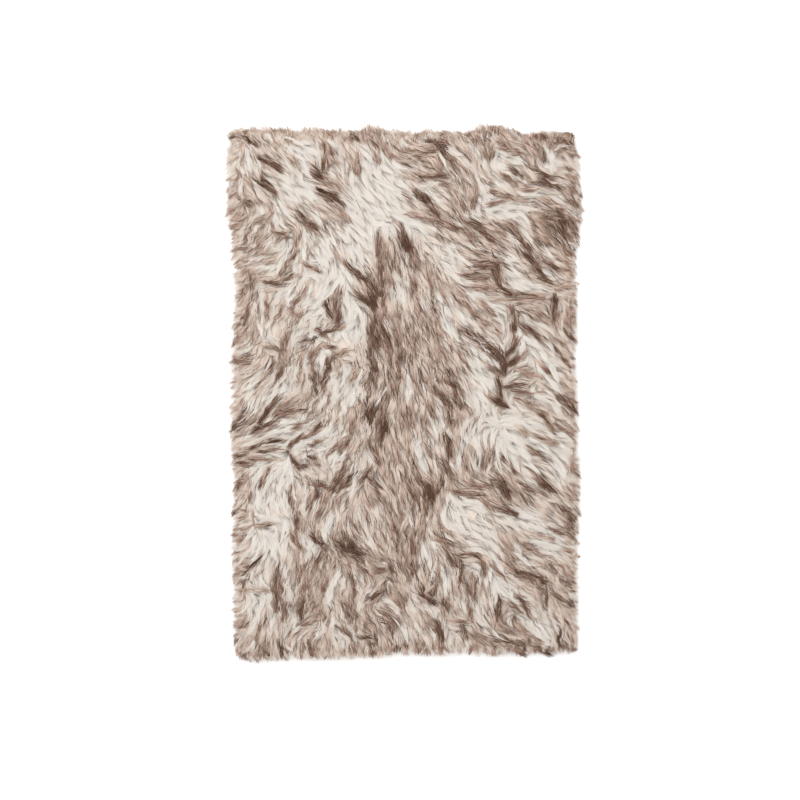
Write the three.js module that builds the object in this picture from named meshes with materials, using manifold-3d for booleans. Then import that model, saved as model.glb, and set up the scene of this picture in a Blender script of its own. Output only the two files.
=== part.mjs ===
// A rectangular long-pile fur rug lying flat on the floor, as one closed solid. Its underside is flat, its
// top is raised into the ridges and hollows of the combed hair, and tapered locks stand out round its rim.
// Millimetres, +Z up, the floor at z = 0. The rug's length runs along Y, with the photograph's top at +Y.

import * as THREE from 'three';
import { mergeVertices } from 'three/addons/utils/BufferGeometryUtils.js';
import Module from 'manifold-3d';

// Driving dimensions.
const rug = {
  width: 604, // along X, to the middle of the ragged hair line
  length: 914, // along Y, to the middle of the ragged hair line
  cornerPull: 12, // how far the corners draw in
  cornerSharpness: 20, // the higher, the shorter the stretch that a corner draws in
};
const pile = {
  level: 28, // height of the combed hair over the floor
  rimHeight: 12, // height at the slab's edge, where the hair turns down
  shoulder: 48, // width of the rounded stretch from the edge to the full level
  insideHairLine: 16, // the slab's edge lies this far inside the ragged hair line
};
const topFace = { cellsAcross: 36, cellsAlong: 54 };
const smallLocks = {
  rise: 5.6, // height of the little locks between the large tufts
  apart: 46, // distance between neighbours, along the combing
  wide: 31, // distance between neighbours, across the combing
};
const rimLocks = {
  pitch: 12.6, // spacing round the rim
  rootInside: 7, // the root lies this far inside the slab's edge
  rootWidth: 11,
  rootHeight: 10,
  middleShare: 0.64, // the width and height left at the lock's middle
  reach: 19, // how far an average tip stands out past the slab's edge
  reachSpread: 6.5,
  turnSpread: 9, // degrees a lock may turn from its side's heading
  bendSpread: 10, // degrees its outer part may turn again
  sizeSpread: 0.15, // share by which a lock may be thicker or thinner
  slantFrom: 0.88, // the share of both half sides past which the locks slant round a corner
};

// The rug in the photograph: its middle and its scale.
const photo = { middleAcross: 404.5, middleDown: 393.5, mmPerPixel: 1.702 };

// How far the hair line stands out past the nominal rectangle, in mm, at even steps along each side:
// the long sides from the photograph's top to its bottom, the short ones from its left to its right.
const hairLine = {
  left: [-2, 5, 3, -7, -8, -5, -5, -3, -7, -6, -6, -6, -12],
  right: [-13, -2, 2, -8, -6, -8, -5, -5, 0, -5, -6, -5, -6],
  top: [-7, -3, -4, -3, -7, 0, -10, -7, -8, 3, -11, -7, -13],
  bottom: [-8, 2, -2, -1, -2, -5, -10, -7, -10, -8, -11, -12, -16],
};

// Headings are in degrees, anticlockwise from +X: the way in which the hair lies from root to tip.
// How the hair at each side leans away from straight out.
const sideLean = { left: 28, right: -38, top: -12, bottom: 4 };

// Large tufts, where hair runs together into a ridge: place in the photograph, heading, size and rise.
const tufts = [
  { across: 255, down: 143, heading: -42, length: 44, width: 22, rise: 7 },
  { across: 276, down: 168, heading: -36, length: 42, width: 22, rise: 6 },
  { across: 272, down: 192, heading: -42, length: 46, width: 22, rise: 7 },
  { across: 309, down: 224, heading: -42, length: 44, width: 24, rise: 7 },
  { across: 342, down: 204, heading: -34, length: 60, width: 26, rise: 9 },
  { across: 325, down: 164, heading: -95, length: 60, width: 28, rise: 8 },
  { across: 360, down: 140, heading: -52, length: 40, width: 24, rise: 6 },
  { across: 443, down: 148, heading: -60, length: 54, width: 32, rise: 9 },
  { across: 485, down: 154, heading: -80, length: 50, width: 26, rise: 7 },
  { across: 539, down: 153, heading: -75, length: 54, width: 28, rise: 8 },
  { across: 569, down: 143, heading: -50, length: 40, width: 24, rise: 7 },
  { across: 545, down: 180, heading: -30, length: 62, width: 26, rise: 7 },
  { across: 500, down: 196, heading: -12, length: 56, width: 22, rise: 6 },
  { across: 430, down: 209, heading: -50, length: 64, width: 24, rise: 8 },
  { across: 479, down: 226, heading: -30, length: 54, width: 24, rise: 7 },
  { across: 530, down: 243, heading: -52, length: 84, width: 28, rise: 8 },
  { across: 564, down: 226, heading: -80, length: 54, width: 30, rise: 8 },
  { across: 405, down: 248, heading: -80, length: 50, width: 28, rise: 8 },
  { across: 497, down: 276, heading: -80, length: 60, width: 32, rise: 9 },
  { across: 251, down: 289, heading: -100, length: 50, width: 26, rise: 6 },
  { across: 300, down: 270, heading: -140, length: 64, width: 24, rise: 5 },
  { across: 335, down: 314, heading: -95, length: 54, width: 30, rise: 8 },
  { across: 375, down: 300, heading: -72, length: 76, width: 36, rise: 10 },
  { across: 385, down: 348, heading: -82, length: 78, width: 38, rise: 8 },
  { across: 430, down: 325, heading: -70, length: 66, width: 36, rise: 6 },
  { across: 514, down: 323, heading: -95, length: 48, width: 22, rise: 7 },
  { across: 554, down: 313, heading: -95, length: 48, width: 22, rise: 6 },
  { across: 490, down: 345, heading: -38, length: 70, width: 26, rise: 7 },
  { across: 505, down: 366, heading: -90, length: 54, width: 34, rise: 10 },
  { across: 503, down: 398, heading: -90, length: 50, width: 26, rise: 7 },
  { across: 570, down: 404, heading: -40, length: 54, width: 26, rise: 6 },
  { across: 285, down: 352, heading: -100, length: 44, width: 26, rise: 6 },
  { across: 318, down: 378, heading: -90, length: 64, width: 28, rise: 6 },
  { across: 267, down: 413, heading: -128, length: 84, width: 26, rise: 8 },
  { across: 236, down: 427, heading: -140, length: 48, width: 24, rise: 6 },
  { across: 259, down: 447, heading: 180, length: 50, width: 26, rise: 8 },
  { across: 373, down: 420, heading: -92, length: 66, width: 36, rise: 9 },
  { across: 448, down: 446, heading: -75, length: 70, width: 26, rise: 7 },
  { across: 430, down: 494, heading: -78, length: 64, width: 38, rise: 10 },
  { across: 545, down: 487, heading: -35, length: 54, width: 28, rise: 9 },
  { across: 507, down: 501, heading: -42, length: 80, width: 30, rise: 8 },
  { across: 572, down: 516, heading: -52, length: 54, width: 28, rise: 7 },
  { across: 344, down: 484, heading: -140, length: 62, width: 24, rise: 6 },
  { across: 296, down: 508, heading: -92, length: 70, width: 24, rise: 7 },
  { across: 322, down: 542, heading: -60, length: 60, width: 24, rise: 7 },
  { across: 356, down: 551, heading: -20, length: 60, width: 24, rise: 8 },
  { across: 251, down: 565, heading: -138, length: 44, width: 22, rise: 6 },
  { across: 279, down: 598, heading: -92, length: 84, width: 30, rise: 7 },
  { across: 301, down: 618, heading: -80, length: 54, width: 26, rise: 7 },
  { across: 351, down: 622, heading: -65, length: 62, width: 24, rise: 6 },
  { across: 424, down: 588, heading: -62, length: 72, width: 28, rise: 8 },
  { across: 460, down: 576, heading: -78, length: 64, width: 26, rise: 7 },
  { across: 536, down: 577, heading: -28, length: 74, width: 26, rise: 8 },
  { across: 501, down: 618, heading: -85, length: 46, width: 28, rise: 6 },
  { across: 441, down: 638, heading: -85, length: 54, width: 24, rise: 7 },
  { across: 534, down: 649, heading: -22, length: 84, width: 24, rise: 7 },
  { across: 567, down: 600, heading: -50, length: 62, width: 28, rise: 7 },
];

// Hollows, where the hair parts and lies low between the tufts.
const hollows = [
  { across: 306, down: 149, heading: -30, length: 62, width: 34, dip: 5 },
  { across: 311, down: 192, heading: -40, length: 62, width: 36, dip: 5 },
  { across: 385, down: 200, heading: -40, length: 96, width: 70, dip: 5 },
  { across: 505, down: 165, heading: -20, length: 60, width: 28, dip: 4 },
  { across: 560, down: 204, heading: -15, length: 60, width: 24, dip: 4 },
  { across: 505, down: 211, heading: -15, length: 84, width: 26, dip: 5 },
  { across: 283, down: 253, heading: -120, length: 44, width: 28, dip: 4 },
  { across: 313, down: 312, heading: -120, length: 44, width: 30, dip: 4 },
  { across: 356, down: 321, heading: -90, length: 54, width: 28, dip: 5 },
  { across: 453, down: 320, heading: -70, length: 46, width: 28, dip: 5 },
  { across: 524, down: 285, heading: -20, length: 56, width: 24, dip: 5 },
  { across: 487, down: 376, heading: -40, length: 40, width: 30, dip: 5 },
  { across: 497, down: 425, heading: 0, length: 80, width: 56, dip: 6 },
  { across: 557, down: 375, heading: -40, length: 56, width: 34, dip: 4 },
  { across: 282, down: 436, heading: 180, length: 66, width: 24, dip: 5 },
  { across: 280, down: 492, heading: -90, length: 76, width: 38, dip: 6 },
  { across: 278, down: 540, heading: -100, length: 54, width: 34, dip: 4 },
  { across: 468, down: 518, heading: -60, length: 86, width: 54, dip: 5 },
  { across: 545, down: 535, heading: -30, length: 80, width: 40, dip: 4 },
  { across: 503, down: 587, heading: -60, length: 76, width: 38, dip: 5 },
  { across: 545, down: 629, heading: -50, length: 60, width: 34, dip: 4 },
  { across: 263, down: 605, heading: -100, length: 54, width: 28, dip: 4 },
  { across: 432, down: 560, heading: -80, length: 44, width: 26, dip: 4 },
  { across: 382, down: 600, heading: -80, length: 60, width: 40, dip: 4 },
];

const radians = THREE.MathUtils.degToRad;

// A steady number from 0 to 1 that stands for chance, the same for the same two counts.
function chance(count, kind) {
  const mixed = Math.sin(count * 127.1 + kind * 311.7) * 43758.5453;
  return mixed - Math.floor(mixed);
}

function placed({ across, down }) {
  return new THREE.Vector2(
    (across - photo.middleAcross) * photo.mmPerPixel,
    (photo.middleDown - down) * photo.mmPerPixel,
  );
}

// 1 at the middle of a long soft form, falling off along and across its heading.
function softForm(form, x, y) {
  const middle = placed(form);
  const turn = radians(form.heading);
  const dx = x - middle.x;
  const dy = y - middle.y;
  const along = (dx * Math.cos(turn) + dy * Math.sin(turn)) / (form.length / 2);
  const across = (dy * Math.cos(turn) - dx * Math.sin(turn)) / (form.width / 2);
  return Math.exp(-(along * along) - across * across);
}

// The way the hair is combed at a place: the headings of the tufts near it, the nearest counting most.
function combing(x, y) {
  const sum = new THREE.Vector2();
  for (const tuft of tufts) {
    const middle = placed(tuft);
    const near = 1 / (400 + (x - middle.x) ** 2 + (y - middle.y) ** 2) ** 2;
    sum.x += near * Math.cos(radians(tuft.heading));
    sum.y += near * Math.sin(radians(tuft.heading));
  }
  return Math.atan2(sum.y, sum.x);
}

// The little locks lie in staggered rows, each turned to the combing where it lies.
function littleLocks() {
  const locks = [];
  const rows = Math.ceil(rug.length / smallLocks.apart);
  const perRow = Math.ceil(rug.width / smallLocks.wide);
  for (let row = 0; row < rows; row++) {
    for (let step = 0; step < perRow; step++) {
      const count = row * perRow + step;
      const stagger = (row % 2) / 2 + 0.6 * (chance(count, 1) - 0.5);
      const x = (step + stagger - perRow / 2 + 0.25) * smallLocks.wide;
      const y = (row + 0.5 + 0.6 * (chance(count, 2) - 0.5) - rows / 2) * smallLocks.apart;
      const heading = combing(x, y);
      locks.push({ x, y, cos: Math.cos(heading), sin: Math.sin(heading), size: 0.5 + chance(count, 3) });
    }
  }
  return locks;
}

// A little lock swells slowly from its root and ends sooner at its tip.
function littleLockHeight(locks, x, y) {
  let height = 0;
  for (const lock of locks) {
    const dx = x - lock.x;
    const dy = y - lock.y;
    if (Math.abs(dx) > smallLocks.apart * 1.5 || Math.abs(dy) > smallLocks.apart * 1.5) continue;
    const forward = dx * lock.cos + dy * lock.sin;
    const along = forward / (smallLocks.apart * (forward > 0 ? 0.3 : 0.6));
    const across = (dy * lock.cos - dx * lock.sin) / (smallLocks.wide * 0.45);
    height += lock.size * Math.exp(-(along * along) - across * across);
  }
  return smallLocks.rise * height;
}

// The hair line's stand-out at share t of a side, eased from one step to the next.
function standOut(side, t) {
  const steps = hairLine[side];
  const place = THREE.MathUtils.clamp(t, 0, 1) * (steps.length - 1);
  const step = Math.min(Math.floor(place), steps.length - 2);
  const share = THREE.MathUtils.smoothstep(place - step, 0, 1);
  return THREE.MathUtils.lerp(steps[step], steps[step + 1], share) - pile.insideHairLine;
}

// The plan: u runs from -1 at the left edge to 1 at the right one, v from -1 at the bottom to 1 at the top.
function plan(u, v) {
  const fromTop = (1 - v) / 2;
  const fromLeft = (1 + u) / 2;
  const left = -rug.width / 2 - standOut('left', fromTop);
  const right = rug.width / 2 + standOut('right', fromTop);
  const bottom = -rug.length / 2 - standOut('bottom', fromLeft);
  const top = rug.length / 2 + standOut('top', fromLeft);
  const pull = rug.cornerPull * Math.abs(u * v) ** rug.cornerSharpness;
  return new THREE.Vector2(
    THREE.MathUtils.lerp(left, right, fromLeft) - Math.sign(u) * pull,
    THREE.MathUtils.lerp(bottom, top, (1 + v) / 2) - Math.sign(v) * pull,
  );
}

// The rounded fall of the hair towards the edge: 0 at the edge, 1 where the pile has its full level.
function shoulderShare(u, v) {
  const fromSide = (1 - Math.abs(u)) * (rug.width / 2);
  const fromEnd = (1 - Math.abs(v)) * (rug.length / 2);
  const inward = (from) => THREE.MathUtils.clamp(from / pile.shoulder, 0, 1);
  const round = (share) => Math.sqrt(1 - (1 - share) ** 2);
  return round(inward(fromSide)) * round(inward(fromEnd));
}

// The height of the pile's top over the floor.
function pileHeight(locks, u, v, x, y) {
  const share = shoulderShare(u, v);
  let relief = littleLockHeight(locks, x, y);
  for (const tuft of tufts) relief += tuft.rise * softForm(tuft, x, y);
  for (const hollow of hollows) relief -= hollow.dip * softForm(hollow, x, y);
  return THREE.MathUtils.lerp(pile.rimHeight, pile.level, share) + relief * share;
}

// The slab: a plane of cells raised to the hair's height over the rug's outline, a wall down from its
// edge, and a flat underside that fans out from the middle.
function slabGeometry() {
  const { cellsAcross, cellsAlong } = topFace;
  const top = new THREE.PlaneGeometry(2, 2, cellsAcross, cellsAlong);
  const square = top.getAttribute('position');
  const locks = littleLocks();
  const places = [];
  for (let i = 0; i < square.count; i++) {
    const u = square.getX(i);
    const v = square.getY(i);
    const { x, y } = plan(u, v);
    places.push(x, y, pileHeight(locks, u, v, x, y));
  }

  // The edge points, anticlockwise from the bottom left corner.
  const point = (column, row) => row * (cellsAcross + 1) + column;
  const edge = [];
  for (let column = 0; column < cellsAcross; column++) edge.push(point(column, cellsAlong));
  for (let row = cellsAlong; row > 0; row--) edge.push(point(cellsAcross, row));
  for (let column = cellsAcross; column > 0; column--) edge.push(point(column, 0));
  for (let row = 0; row < cellsAlong; row++) edge.push(point(0, row));

  const faces = Array.from(top.index.array);
  const firstFoot = square.count;
  const middle = firstFoot + edge.length;
  edge.forEach((upper, i) => {
    const next = (i + 1) % edge.length;
    places.push(places[3 * upper], places[3 * upper + 1], 0);
    faces.push(upper, firstFoot + i, firstFoot + next, upper, firstFoot + next, edge[next]);
    faces.push(middle, firstFoot + next, firstFoot + i);
  });
  places.push(0, 0, 0);

  const slab = new THREE.BufferGeometry();
  slab.setAttribute('position', new THREE.Float32BufferAttribute(places, 3));
  slab.setIndex(faces);
  return slab;
}

// The rim as a walk round the square of u and v, with the side that each stretch belongs to.
function rimWalk(share) {
  const lap = share * 2 * (rug.width + rug.length);
  if (lap < rug.width) return { u: (2 * lap) / rug.width - 1, v: 1, side: 'top', out: 90 };
  const pastTop = lap - rug.width;
  if (pastTop < rug.length) return { u: 1, v: 1 - (2 * pastTop) / rug.length, side: 'right', out: 0 };
  const pastRight = pastTop - rug.length;
  if (pastRight < rug.width) return { u: 1 - (2 * pastRight) / rug.width, v: -1, side: 'bottom', out: -90 };
  const pastBottom = pastRight - rug.width;
  return { u: -1, v: (2 * pastBottom) / rug.length - 1, side: 'left', out: 180 };
}

// One rim lock: a three-sided tapering wedge whose flat side lies on the floor, from a root inside the
// slab over a middle section to a point. Its corners are two on the floor and one on the crest.
function rimLockGeometry(root, heading, bend, length, size) {
  const middleHeading = heading + bend;
  const middle = root.clone().add(new THREE.Vector2(Math.cos(heading), Math.sin(heading))
    .multiplyScalar(length * 0.55));
  const tip = middle.clone().add(new THREE.Vector2(Math.cos(middleHeading), Math.sin(middleHeading))
    .multiplyScalar(length * 0.45));
  const section = (at, turn, share) => {
    const half = (rimLocks.rootWidth / 2) * size * share;
    const side = new THREE.Vector2(-Math.sin(turn), Math.cos(turn)).multiplyScalar(half);
    return [
      at.x + side.x, at.y + side.y, 0,
      at.x - side.x, at.y - side.y, 0,
      at.x, at.y, rimLocks.rootHeight * size * share,
    ];
  };
  const geometry = new THREE.BufferGeometry();
  geometry.setAttribute('position', new THREE.Float32BufferAttribute([
    ...section(root, heading, 1),
    ...section(middle, heading + bend / 2, rimLocks.middleShare),
    tip.x, tip.y, 0,
  ], 3));
  geometry.setIndex([
    0, 1, 2,
    0, 3, 4, 0, 4, 1,
    1, 4, 5, 1, 5, 2,
    2, 5, 3, 2, 3, 0,
    3, 6, 4, 4, 6, 5, 5, 6, 3,
  ]);
  return geometry;
}

// How the hair lies at the rim: straight out with its side's lean, and slantwise past the corners.
function rimHeading(u, v, side, out) {
  const leaning = radians(out + sideLean[side]);
  const cornerShare = THREE.MathUtils.smoothstep(Math.abs(u * v), rimLocks.slantFrom, 1);
  const slantwise = new THREE.Vector2(Math.sign(u), Math.sign(v)).normalize();
  return new THREE.Vector2(Math.cos(leaning), Math.sin(leaning)).lerp(slantwise, cornerShare).angle();
}

function rimLockGeometries() {
  const count = Math.round((2 * (rug.width + rug.length)) / rimLocks.pitch);
  const geometries = [];
  for (let i = 0; i < count; i++) {
    const spread = (kind) => chance(i, kind) - 0.5;
    const { u, v, side, out } = rimWalk((i + 0.5 + 0.3 * spread(4)) / count);
    const heading = rimHeading(u, v, side, out) + 2 * radians(rimLocks.turnSpread) * spread(5);
    const outward = new THREE.Vector2(Math.cos(radians(out)), Math.sin(radians(out)));
    const root = plan(u, v).addScaledVector(outward, -rimLocks.rootInside);
    const reach = rimLocks.reach + 2 * rimLocks.reachSpread * spread(6);
    const length = (rimLocks.rootInside + reach) / Math.max(0.75, Math.cos(heading - radians(out)));
    const bend = 2 * radians(rimLocks.bendSpread) * spread(7);
    const size = 1 + 2 * rimLocks.sizeSpread * spread(8);
    geometries.push(rimLockGeometry(root, heading, bend, length, size));
  }
  return geometries;
}

// The solids are joined into one body.
const wasm = await Module();
wasm.setup();

function solidOf(geometry) {
  geometry.deleteAttribute('normal');
  geometry.deleteAttribute('uv');
  const merged = mergeVertices(geometry, 1e-3);
  return new wasm.Manifold(new wasm.Mesh({
    numProp: 3,
    vertProperties: new Float32Array(merged.getAttribute('position').array),
    triVerts: new Uint32Array(merged.index.array),
  }));
}

function geometryOf(solid) {
  const mesh = solid.getMesh();
  const geometry = new THREE.BufferGeometry();
  geometry.setAttribute('position', new THREE.BufferAttribute(mesh.vertProperties, 3));
  geometry.setIndex(new THREE.BufferAttribute(mesh.triVerts, 1));
  return geometry;
}

let body = solidOf(slabGeometry());
for (const lock of rimLockGeometries()) body = body.add(solidOf(lock));

const furGeometry = geometryOf(body);
furGeometry.computeBoundingBox();
const middle = furGeometry.boundingBox.getCenter(new THREE.Vector3());
furGeometry.translate(-middle.x, -middle.y, -furGeometry.boundingBox.min.z);

const fur = new THREE.MeshStandardMaterial({ color: 0xc9b9ad, roughness: 0.95, metalness: 0 });
const furPile = new THREE.Mesh(furGeometry, fur);
furPile.name = 'fur_pile';

const longPileRug = new THREE.Group();
longPileRug.name = 'long_pile_rug';
longPileRug.add(furPile);

export default longPileRug;
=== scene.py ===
"""A rectangular long-pile fur rug lying flat.

Its pieces are the ground cloth, the under-wool, combed locks, stray wisps, tufts and rim hair.
"""

import math
from collections import namedtuple

import bpy
import numpy as np
from bpy.props import FloatProperty, FloatVectorProperty, IntProperty, PointerProperty
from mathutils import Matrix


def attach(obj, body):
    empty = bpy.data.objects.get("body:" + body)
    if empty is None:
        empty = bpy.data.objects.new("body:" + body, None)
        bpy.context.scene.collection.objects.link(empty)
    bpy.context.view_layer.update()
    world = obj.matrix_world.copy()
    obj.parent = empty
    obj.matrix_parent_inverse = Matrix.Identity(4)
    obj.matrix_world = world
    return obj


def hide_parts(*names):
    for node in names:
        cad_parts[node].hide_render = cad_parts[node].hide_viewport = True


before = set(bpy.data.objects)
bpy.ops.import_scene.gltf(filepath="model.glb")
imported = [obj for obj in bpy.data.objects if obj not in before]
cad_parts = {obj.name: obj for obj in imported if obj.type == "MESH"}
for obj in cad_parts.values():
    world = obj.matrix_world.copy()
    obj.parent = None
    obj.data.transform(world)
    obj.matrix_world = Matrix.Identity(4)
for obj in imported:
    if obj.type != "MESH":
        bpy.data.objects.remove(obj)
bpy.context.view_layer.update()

bl_info = {
    "name": "Long-pile fur rug",
    "version": (1, 0, 0),
    "blender": (4, 5, 0),
    "location": "View3D > Sidebar > Fur rug",
    "description": "Makes a rectangular fur rug with combed two-tone locks",
    "category": "Add Mesh",
}

PILE_NODE = "fur_pile"
BODY = "root"

# The photograph's scale and the rug's middle in it. Tables give places in its pixels, across and down, and
# sizes in mm; all other lengths are in metres.
PIXEL = 0.001702
MIDDLE_ACROSS, MIDDLE_DOWN = 404.5, 393.5
FRAME_MIDDLE = 400.0
MM_PER_M = 1000

# The nominal rectangle of the hair line, and how far the real one stands out past it in mm, at even
# steps: the long sides from the photograph's top to its bottom, the short ones from left to right.
HALF_WIDTH, HALF_LENGTH = 0.302, 0.457
HAIR_LINE = {
    "left": (-2, 5, 3, -7, -8, -5, -5, -3, -7, -6, -6, -6, -12),
    "right": (-13, -2, 2, -8, -6, -8, -5, -5, 0, -5, -6, -5, -6),
    "top": (-7, -3, -4, -3, -7, 0, -10, -7, -8, 3, -11, -7, -13),
    "bottom": (-8, 2, -2, -1, -2, -5, -10, -7, -10, -8, -11, -12, -16),
}

# Near a corner the depths from both sides are added and multiplied by DIAGONAL, less the draw.
DIAGONAL = 0.7071
CORNER_DRAW = 0.003

# How the hair lies at each side, in degrees anticlockwise from +X, and how deep that reaches.
RimLie = namedtuple("RimLie", "heading depth")
RIM_LIE = {
    "left": RimLie(208, 0.036),
    "right": RimLie(-36, 0.026),
    "top": RimLie(104, 0.004),
    "bottom": RimLie(-88, 0.028),
}

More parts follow.
